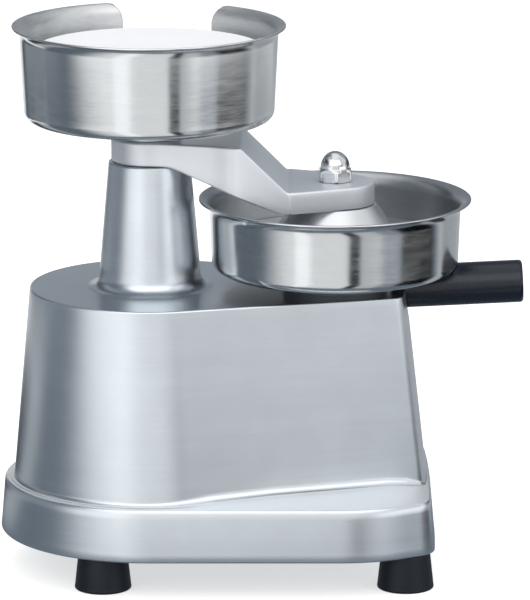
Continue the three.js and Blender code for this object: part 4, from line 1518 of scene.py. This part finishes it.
@dataclass
class Lever:
    """The handle with its bar."""

    reach: float = 215.8
    radius: float = 12.3
    rounding: float = 2.0
    length: float = 76.0
    tilt: float = math.radians(2.75)
    end_height: float = 167.0
    bowl_room: float = 0.6

    def grip(self) -> Piece:
        """Builds the round black grip, flat on top under the bowl.

        Returns:
            The finished piece.
        """
        step = 0.7
        profile = rounded([
            (0, -self.length, 0), (self.radius, -self.length, self.rounding),
            (self.radius, 0, self.rounding), (0, 0, 0)], closed=False, steps=8)
        stations: list[Point] = []
        for here, there in zip(profile[:-1], profile[1:]):
            stations.extend(run(here, there, max(1, int(abs(there[1] - here[1]) / step))))
        stations.append(profile[-1])
        end_x = self.reach - (self.radius - self.rounding) * math.sin(self.tilt)
        shell = turned(lathe(stations, 96), "Y", QUARTER, (0, 0, 0))
        points, faces = turned(shell, "Y", -self.tilt, (end_x, 0, self.end_height))
        bowl = LOWER_BOWL
        away = np.hypot(points[:, 0] - BOWL_SPACING, points[:, 1])
        corner = np.clip(away - (bowl.foot_radius - bowl.corner), 0, bowl.corner)
        skin = bowl.bottom + bowl.corner - np.sqrt(bowl.corner ** 2 - corner ** 2)
        under = away < bowl.foot_radius
        points[under, 2] = np.minimum(points[under, 2], skin[under] - self.bowl_room)
        return dress(
            mesh_object("grip", (points, faces)), PLASTIC, Body.LEVER, "black_plastic",
            "handle_grip")

    def build(self) -> None:
        """Builds and dresses the grip and its bar."""
        self.grip()
        paint("lever_bar", STEEL)


@dataclass
class PressArm:
    """The cranked arm with its shaft, head and nut."""

    boss_radius: float = 22.0
    low: float = 238.3
    thickness: float = 13.7
    end_thickness: float = 12.7
    drop: float = 26.0
    half_width: float = 36.0
    tip_radius: float = 22.8
    tip_tangent: float = math.radians(64)
    upper_bend: float = 52.5
    lower_bend: float = 79.0
    under_bend: float = 12.0
    under_end: float = 75.0
    under_rounds: Point = (14.0, 10.0)
    span: Point = (-60.0, 160.0)
    edge: float = 1.3
    bend_round: float = 2.0
    spot_radius: float = 24.4
    spot_depth: float = 20.0
    head_bottom: float = 188.2
    head_radius: float = 64.8
    head_top: float = 213.0
    nut_bottom: float = 226.3
    nut_height: float = 7.1
    nut_corner: float = 10.4
    nut_turn: float = math.radians(4)
    # Points of the plan's edge, as shares of the bowls' spacing and of the half width.
    plan: tuple[Point, ...] = (
        (0.1, 0.65), (0.22, 0.735), (0.34, 0.84), (0.43, 0.95), (0.5, 1.0),
        (0.62, 1.0), (0.74, 0.975), (0.8, 0.945))

    def heights(self, x: np.ndarray) -> tuple[np.ndarray, np.ndarray]:
        """Heights of the arm's under side and top along the press.

        Args:
            x: places from the column axis.

        Returns:
            The under side's and the top's heights.
        """
        (start, finish), top = self.span, self.low + self.thickness
        end_top = top - self.drop
        end_low = end_top - self.end_thickness
        over = rounded([
            (start, top, 0), (self.upper_bend, top, self.bend_round),
            (self.lower_bend, end_top, self.bend_round), (finish, end_top, 0)], closed=False)
        under = rounded([
            (start, self.low, 0), (self.under_bend, self.low, self.under_rounds[0]),
            (self.under_end, end_low, self.under_rounds[1]), (finish, end_low, 0)], closed=False)
        return np.interp(x, *zip(*under)), np.interp(x, *zip(*over))

    def front_edge(self) -> list[Point]:
        """The front half of the arm's plan outline, from the boss to the tip.

        Returns:
            Its points.
        """
        knots = [Vector((s * BOWL_SPACING, -w * self.half_width)) for s, w in self.plan]
        start = arc(0, 0, self.boss_radius, 2 * QUARTER, 3 * QUARTER, 30)
        tip = arc(BOWL_SPACING, 0, self.tip_radius, -self.tip_tangent, 0, 30)
        spine = [start[-1], *(tuple(knot) for knot in knots), tip[0]]
        side = smooth_through(spine, 10, before=(-22.0, -22.0), after=tip[3])
        return [*start[:-1], *side[:-1], *tip]

    def arm(self) -> Piece:
        """Builds the arm, with the spot face that it sits on.

        The spot face's cutter is turned a little and stops just under the arm's own face, so
        that no edge of it falls on one of the arm's.

        Returns:
            The finished piece.
        """
        half = self.front_edge()
        outline = mirrored(half)

        def ring(angle: float, top_side: bool) -> np.ndarray:
            """The outline at one angle of its edge's rounding.

            Args:
                angle: 0 on the face, a quarter turn on the side.
                top_side: whether it rounds the top's edge.

            Returns:
                Rows of (x, y, z).
            """
            inset, rise = (self.edge * (1 - f(angle)) for f in (math.sin, math.cos))
            plan = offset(outline, inset) if inset else outline
            under, over = self.heights(plan[:, 0])
            return np.column_stack((plan, over - rise if top_side else under + rise))

        low = [ring(a, False) for a in np.linspace(0, QUARTER, 7)]
        high = [ring(a, True) for a in np.linspace(QUARTER, 0, 7)]
        side = [low[-1] + (high[0] - low[-1]) * share for share in np.linspace(0, 1, 5)[1:-1]]
        points, faces = loft([*low, *side, *high])
        thing = mesh_object("arm_casting", joined([
            (points, faces[:-2]), self.cover(low[0], len(half), True),
            self.cover(high[-1], len(half), False)]))
        room, turn = 0.1, 0.011
        top, bottom = self.low - room, self.low - self.spot_depth
        spot = [(0, bottom), (self.spot_radius, bottom), (self.spot_radius, top), (0, top)]
        carve(thing, turned(lathe(spot, 90), "Z", turn, (0, 0, 0)))
        return dress(thing, ARM_CAST, Body.ARM, "cast_aluminium", "press_arm")

    def cover(self, ring: np.ndarray, half: int, under: bool) -> Shell:
        """The arm's top or under face, in strips from front to back.

        Args:
            ring: the ring that it closes.
            half: how many points its front half has.
            under: whether it is the under side.

        Returns:
            The vertices and faces.
        """
        strips = 12
        front = ring[:half]
        back = np.vstack((ring[:1], ring[half:][::-1], ring[half - 1:half]))
        rows = [front + (back - front) * share for share in np.linspace(0, 1, strips + 1)]
        vertices = np.vstack(rows)
        low, high = self.heights(vertices[:, 0])
        vertices[:, 2] = low if under else high
        faces = []
        for row in range(strips):
            for i in range(half - 1):
                a = row * half + i
                faces.append((a, a + 1, a + half + 1, a + half))
        return vertices, faces

    def head(self) -> Piece:
        """Builds the press head.

        Returns:
            The finished piece.
        """
        bottom, rim_top = self.head_bottom, self.head_bottom + 3.6
        stud_hole, hole_bottom = 6.3, 196.0
        profile = rounded([
            (0, bottom, 0), (self.head_radius, bottom, 0.6), (self.head_radius, rim_top, 0.6),
            (39.0, rim_top, 5.0), (23.6, self.head_top, 0.8), (stud_hole, self.head_top, 0),
            (stud_hole, hole_bottom, 0), (0, hole_bottom, 0)])
        thing = spun("head", profile, 200, BOWL_SPACING, TURNED)
        return dress(thing, TURNED, Body.ARM, "bright_aluminium", "press_head")

    def nut(self) -> Piece:
        """Builds the dome nut.

        Returns:
            The finished piece.
        """
        low, top, corner = self.nut_bottom, self.nut_bottom + self.nut_height, self.nut_corner
        angles = full_turn(144)
        flat = np.mod(angles - self.nut_turn + math.pi / 6, math.pi / 3) - math.pi / 6
        side = corner * math.cos(math.pi / 6) / np.cos(flat)
        chain = [(np.minimum(side, limit), z) for limit, z in (
            (9.4, low), (corner, low + 0.6), (corner, top - 1.4), (9.9, top - 0.7), (9.2, top))]
        chain += [(8.9, top), (8.55, top + 0.35)]
        chain += [
            (8.5 * math.cos(a), top + 0.6 + 9.4 * math.sin(a))
            for a in np.linspace(0, QUARTER, 16)[:-1]]
        points, faces = loft([hoop(radius, angles, z) for radius, z in chain])
        thing = mesh_object("cap_nut", (points + (BOWL_SPACING, 0, 0), faces))
        return dress(thing, POLISHED, Body.ARM, "chrome", "dome_nut")

    def build(self) -> None:
        """Builds and dresses the arm, its shaft, the head and the nut."""
        self.arm()
        self.head()
        self.nut()
        shaft = rounded([(0, 62.3, 0), (10, 62.3, 1.0), (10, 251.7, 0.5), (0, 251.7, 0)])
        dress(spun("shaft", shaft, 96, 0.0, STEEL), STEEL, Body.ARM, "steel", "main_shaft")
        for node in ("stop_collar", "stop_collar_screw", "arm_set_screw", "head_stud"):
            paint(node, STEEL)


def smooth_through(points: Sequence[Point], steps: int, before: Point, after: Point) -> list[Point]:
    """A smooth curve through points.

    Args:
        points: the points that it passes.
        steps: steps between two of them.
        before, after: points that give its direction at both ends.

    Returns:
        The curve's points.
    """
    chain = np.array([before, *points, after])
    result: list[Point] = []
    for i in range(1, len(chain) - 2):
        p0, p1, p2, p3 = chain[i - 1:i + 3]
        for t in np.linspace(0, 1, steps, endpoint=False):
            value = 0.5 * (2 * p1 + (p2 - p0) * t + (2 * p0 - 5 * p1 + 4 * p2 - p3) * t ** 2
                           + (3 * p1 - p0 - 3 * p2 + p3) * t ** 3)
            result.append(tuple(value))
    result.append(tuple(chain[-2]))
    return result


@dataclass
class PaperBowl(Bowl):
    """The upper bowl with its papers."""

    bottom: float = 262.5
    height: float = 54.6
    foot_radius: float = 72.0
    wall_radius: float = 74.0
    lip: float = 6.0
    cut_centre: float = math.radians(7.65)
    cut_half: float = 26.3
    cut_depth: float = 40.0
    cut_round: float = 10.5
    cut_floor_round: float = 9.0
    paper_radius: float = 65.0
    stack: float = 40.0
    leaves: int = 80
    slip: float = 0.1
    leaf_gap: float = 0.03
    shrink: float = 0.004
    seed: int = 11

    def cutter(self) -> Shell:
        """What is cut out of the bowl's back.

        Returns:
            Its shell.
        """
        top, above, near, depth = self.bottom + self.height, 3, 30.0, 60.0
        half, floor_round = self.cut_round, self.cut_floor_round
        open_half, floor_x = self.cut_half + half, self.cut_half - floor_round
        floor_z = top - self.cut_depth + floor_round
        outline = [
            (-open_half, top + above),
            *arc(-open_half, top - half, half, QUARTER, 0, 10),
            *arc(-floor_x, floor_z, floor_round, 2 * QUARTER, 3 * QUARTER, 10),
            *arc(floor_x, floor_z, floor_round, -QUARTER, 0, 10),
            *arc(open_half, top - half, half, 2 * QUARTER, QUARTER, 10),
            (open_half, top + above),
        ]
        section = np.array([(x, near, z) for x, z in outline])
        return turned(
            loft([section, section + (0, depth, 0)]), "Z", -self.cut_centre, (0, 0, 0))

    def bowl(self) -> Piece:
        """Builds the bowl.

        Returns:
            The finished piece.
        """
        middle = [(4.3, self.bottom - 5), (6, self.bottom - 5), (11, self.bottom)]
        thing = spun("upper_bowl", self.profile(middle), self.segments, 0.0, SHEET_TOP)
        carve(thing, self.cutter())
        dress(thing, SHEET_TOP, Body.ARM, "stainless", "paper_bowl")
        # Painted light on the bowl's inside: a lighter copy of its steel.
        line(thing, SHEET_TOP_INSIDE_LIT, 0.0)
        return thing

    def papers(self) -> Piece:
        """Builds the stack of papers.

        Returns:
            The finished piece.
        """
        low, pitch = self.bottom + self.sheet + 0.3, self.stack / self.leaves
        radius, thick = self.paper_radius, pitch - self.leaf_gap
        leaf = lathe([(0, 0), (radius, 0), (radius, thick), (0, thick)], 96)
        shift = np.random.default_rng(self.seed).normal(0, self.slip, (self.leaves, 2))
        shift = shift.clip(-2 * self.slip, 2 * self.slip)
        places = [(x, y, low + pitch * i) for i, (x, y) in enumerate(shift)]
        thing = copies("papers", leaf, places, PAPER, turn=math.pi, shrink=self.shrink)
        return dress(thing, PAPER, Body.PAPERS, "paper", "paper_stack")

    def build(self) -> None:
        """Builds and dresses the bowl, its hub and the papers."""
        self.bowl()
        self.papers()
        paint("paper_bowl_hub", STEEL)
        paint("paper_bowl_screw", STEEL)


# ---------------------------------------------------------------- studio


@dataclass(frozen=True)
class Card:
    """A card hung round the press, by the directions in degrees where it starts and ends.

    A direction of 0 faces the camera and 90 lies to its right. Low and high are how far it
    reaches below and above the horizon, and edge is how softly it ends there.
    """

    start: float
    end: float
    start_soft: float
    end_soft: float
    level: float
    low: float = -95.0
    high: float = 95.0
    edge: float = 1.5


@dataclass(frozen=True)
class Lamp:
    """A square soft lamp that hangs at a place, in metres, and faces the press."""

    place: Place
    side: float
    power: float


@dataclass
class Studio:
    """Floor, cards, lamps, backdrop and camera."""

    eye: Place = (2.25, -2820.0, 811.2)
    pitch: float = math.radians(13.09)
    focal: float = 5003.4
    picture_height: int = 600
    sensor: float = 36.0
    tent_radius: float = 1150.0
    tent_middle: float = 0.16
    # Where the crown over the cards starts and is whole, by elevation in degrees.
    crown: Point = (52.0, 72.0)
    crown_level: float = 1.25
    # The same for the darker back, by direction and by elevation.
    back: Point = (142.0, 160.0)
    back_rise: Point = (4.0, 12.0)
    back_level: float = 0.30
    floor_reach: float = 4000.0
    floor_colour: float = 0.80
    floor_glow: float = 0.62
    fill: float = 0.60
    front_level: float = 1.0
    shade_tint: Colour = (0.80, 0.97, 1.16)
    shade_levels: Point = (0.05, 0.7)
    cards: tuple[Card, ...] = (
        Card(-124.0, -104.0, 3.0, 4.0, 0.50),
        Card(-124.0, -104.0, 3.0, 4.0, 0.16, -10.8, 20.0, 0.6),
        Card(-149.0, -123.0, 4.0, 3.0, 0.05),
        Card(148.0, 200.0, 6.0, 1.0, 0.50),
        Card(-105.0, -54.0, 4.0, 18.0, 0.18),
        Card(-33.0, -19.0, 3.0, 4.0, 1.40),
        Card(25.0, 64.0, 2.0, 3.0, 0.66),
        Card(44.0, 64.0, 5.0, 3.0, 0.34),
        Card(62.0, 106.0, 3.0, 12.0, 0.0, -95.0, -5.5),
        Card(110.0, 152.0, 6.0, 6.0, 0.46),
        Card(-140.0, -80.0, 8.0, 16.0, 0.36, -6.5, 10.0),
        Card(-66.0, -20.0, 14.0, 10.0, 1.55, -6.5, 8.0),
        Card(34.0, 86.0, 8.0, 18.0, 1.85, -6.5, 8.0),
        Card(-152.0, -106.0, 6.0, 6.0, 1.3, -12.3, -10.0, 0.7),
        Card(96.0, 165.0, 16.0, 8.0, 0.12, -2.0, 20.0),
        Card(60.0, 150.0, 12.0, 10.0, 0.85, -6.5, -2.5, 1.0),
        Card(-54.0, 56.0, 12.0, 12.0, 2.1, 20.0, 56.0, 9.0),
        Card(15.0, 25.0, 2.0, 2.0, 0.0, -95.0, -5.0),
        # Dark all round on the floor near the press, seen only in reflections: painted shadow of
        # the press.
        Card(-200.0, 200.0, 1.0, 1.0, 0.22, -95.0, -34.0),
    )
    lamps: tuple[Lamp, ...] = (
        Lamp((-1.3, -1.5, 1.5), 1.6, 14.0),
        Lamp((1.6, -1.0, 1.3), 1.4, 7.0),
        Lamp((0.0, 0.1, 2.2), 2.4, 16.0),
    )
    aim: Place = (0.0, 0.0, 0.15)

    def camera(self) -> None:
        """Sets up the camera at the photograph's place."""
        data = bpy.data.cameras.new("camera")
        data.sensor_fit = "VERTICAL"
        data.sensor_height = self.sensor
        data.lens = self.focal * self.sensor / self.picture_height
        data.clip_start, data.clip_end = 0.1, 60.0
        thing = linked("camera", data)
        thing.location = [v * MM for v in self.eye]
        thing.rotation_euler = (QUARTER - self.pitch, 0, 0)
        bpy.context.scene.camera = thing

    def card_group(self) -> Tree:
        """How bright the cards are by direction from the press.

        Returns:
            The group: Vector in; Level out, as a grey that dark levels cool a little.
        """
        wiring = new_tree(SHADER, "card_ring", {"Vector": PLACE}, {"Level": COLOUR})
        place = wiring.parts(wiring.source["Vector"])
        ahead = wiring.math("MULTIPLY", place["Y"], -1.0)
        direction = wiring.math("DEGREES", wiring.math("ARCTAN2", place["X"], ahead))
        squares = [wiring.math("POWER", place[axis], 2.0) for axis in "XY"]
        away = wiring.math("POWER", wiring.math("ADD", *squares), 0.5)
        height = wiring.math("SUBTRACT", place["Z"], self.tent_middle)
        rise = wiring.math("DEGREES", wiring.math("ARCTAN2", height, away))
        grey: float | Socket = self.front_level
        for card in self.cards:
            share = wiring.math(
                "MULTIPLY",
                wiring.spread(
                    direction, card.start - card.start_soft, card.start + card.start_soft, 0, 1),
                wiring.spread(
                    direction, card.end - card.end_soft, card.end + card.end_soft, 1, 0))
            for limit, before, after in ((card.low, 0, 1), (card.high, 1, 0)):
                if abs(limit) < 90:
                    share = wiring.math("MULTIPLY", share, wiring.spread(
                        rise, limit - card.edge, limit + card.edge, before, after))
            grey = wiring.between(share, grey, card.level)
        behind = wiring.spread(wiring.math("ABSOLUTE", direction), *self.back, 0, 1)
        raised = wiring.spread(rise, *self.back_rise, 0, 1)
        grey = wiring.between(wiring.math("MULTIPLY", behind, raised), grey, self.back_level)
        grey = wiring.between(wiring.spread(rise, *self.crown, 0, 1), grey, self.crown_level)
        tint = wiring.blend(
            wiring.spread(grey, *self.shade_levels, 0, 1), (*self.shade_tint, 1), (1, 1, 1, 1))
        wiring.feed(wiring.sink, Level=wiring.scaled(tint, grey))
        return wiring.tree

    def stage_piece(
            self, name: str, look: str, shell: Shell,
            ring: Tree) -> tuple[Piece, Wiring, Node, Socket]:
        """Starts a piece of the studio, whose material knows the cards' levels.

        Args:
            name: the piece's name.
            look: its material's name.
            shell: its shape about the frame's origin.
            ring: the cards' group.

        Returns:
            The piece, and its material's wiring, shader and cards' level.
        """
        thing = mesh_object(name, from_origin(shell))
        material, wiring, shader = new_material(look)
        material.cycles.emission_sampling = "NONE"
        thing.data.materials.append(material)
        place = wiring.add("TexCoord").outputs["Object"]
        cards = wiring.feed(wiring.add("Group", node_tree=ring), Vector=place)
        wiring.feed(shader, Emission_Strength=1.0, Specular_IOR_Level=0.0)
        return thing, wiring, shader, cards.outputs["Level"]

    def floor(self, ring: Tree) -> None:
        """Lays the pale floor, in which reflections see the cards instead.

        Args:
            ring: the cards' group.
        """
        side = np.linspace(-self.floor_reach, self.floor_reach, 9)
        points = np.array([(x, y, -0.05) for y in side for x in side])
        count = len(side)
        starts = [r * count + c for r in range(count - 1) for c in range(count - 1)]
        faces = [(i, i + 1, i + count + 1, i + count) for i in starts]
        thing, wiring, shader, cards = self.stage_piece(
            "floor", "floor_white", (points, faces), ring)
        black = (0, 0, 0, 1)
        path = wiring.add("LightPath").outputs
        seen = wiring.math("MAXIMUM", path["Is Camera Ray"], path["Is Transmission Ray"])
        light = wiring.blend(seen, black, rgba((self.floor_glow,) * 3))
        light = wiring.blend(path["Is Glossy Ray"], light, cards)
        colour = wiring.blend(path["Is Glossy Ray"], rgba((self.floor_colour,) * 3), black)
        wiring.feed(shader, Base_Color=colour, Roughness=0.9, Emission_Color=light)

    def tent(self, ring: Tree) -> None:
        """Hangs the cards as one round tent that only reflections see.

        Args:
            ring: the cards' group.
        """
        radius, angles = self.tent_radius, full_turn(96)
        points, faces = loft([
            hoop(radius * math.cos(a), angles, radius * math.sin(a) + 1)
            for a in np.linspace(0, QUARTER, 17)[:-1]])
        thing, wiring, shader, cards = self.stage_piece(
            "tent", "tent_cards", (points, faces[:-2] + faces[-1:]), ring)
        wiring.feed(shader, Base_Color=(0, 0, 0, 1), Emission_Color=cards)
        thing.visible_camera = thing.visible_diffuse = thing.visible_shadow = False
        thing.visible_transmission = thing.visible_volume_scatter = False

    def world(self) -> None:
        """Makes the backdrop white where it is seen, and softer as a light."""
        world = bpy.data.worlds.new("backdrop")
        world.use_nodes = True
        bpy.context.scene.world = world
        wiring = Wiring(world.node_tree)
        path = wiring.add("LightPath").outputs
        seen = wiring.math("MAXIMUM", path["Is Camera Ray"], path["Is Transmission Ray"])
        seen = wiring.math("MAXIMUM", seen, path["Is Glossy Ray"])
        wiring.feed(
            world.node_tree.nodes["Background"], Color=(1, 1, 1, 1),
            Strength=wiring.spread(seen, 0.0, 1.0, self.fill, 1.0))

    def light(self) -> None:
        """Hangs the soft lamps round the press."""
        for i, lamp in enumerate(self.lamps):
            data = bpy.data.lights.new(f"lamp_{i}", "AREA")
            data.shape, data.size, data.energy = "SQUARE", lamp.side, lamp.power
            thing = linked(f"lamp_{i}", data)
            thing.location = lamp.place
            towards = Vector(self.aim) - Vector(lamp.place)
            thing.rotation_euler = towards.to_track_quat("-Z", "Y").to_euler()
            thing.visible_glossy = False

    def build(self) -> None:
        """Sets up the camera, the floor, the cards, the backdrop and the lamps."""
        bpy.context.scene.view_settings.view_transform = "Standard"
        ring = self.card_group()
        self.camera()
        self.floor(ring)
        self.tent(ring)
        self.world()
        self.light()


def main() -> None:
    """Builds the press and its studio."""
    logging.basicConfig(level=logging.INFO, format="%(name)s: %(message)s")
    makers: list[Callable[[], None]] = [
        Studio().build, Base().build, LOWER_BOWL.build, Lever().build, PressArm().build,
        PaperBowl().build]
    for make in makers:
        make()


if __name__ == "__main__":
    main()
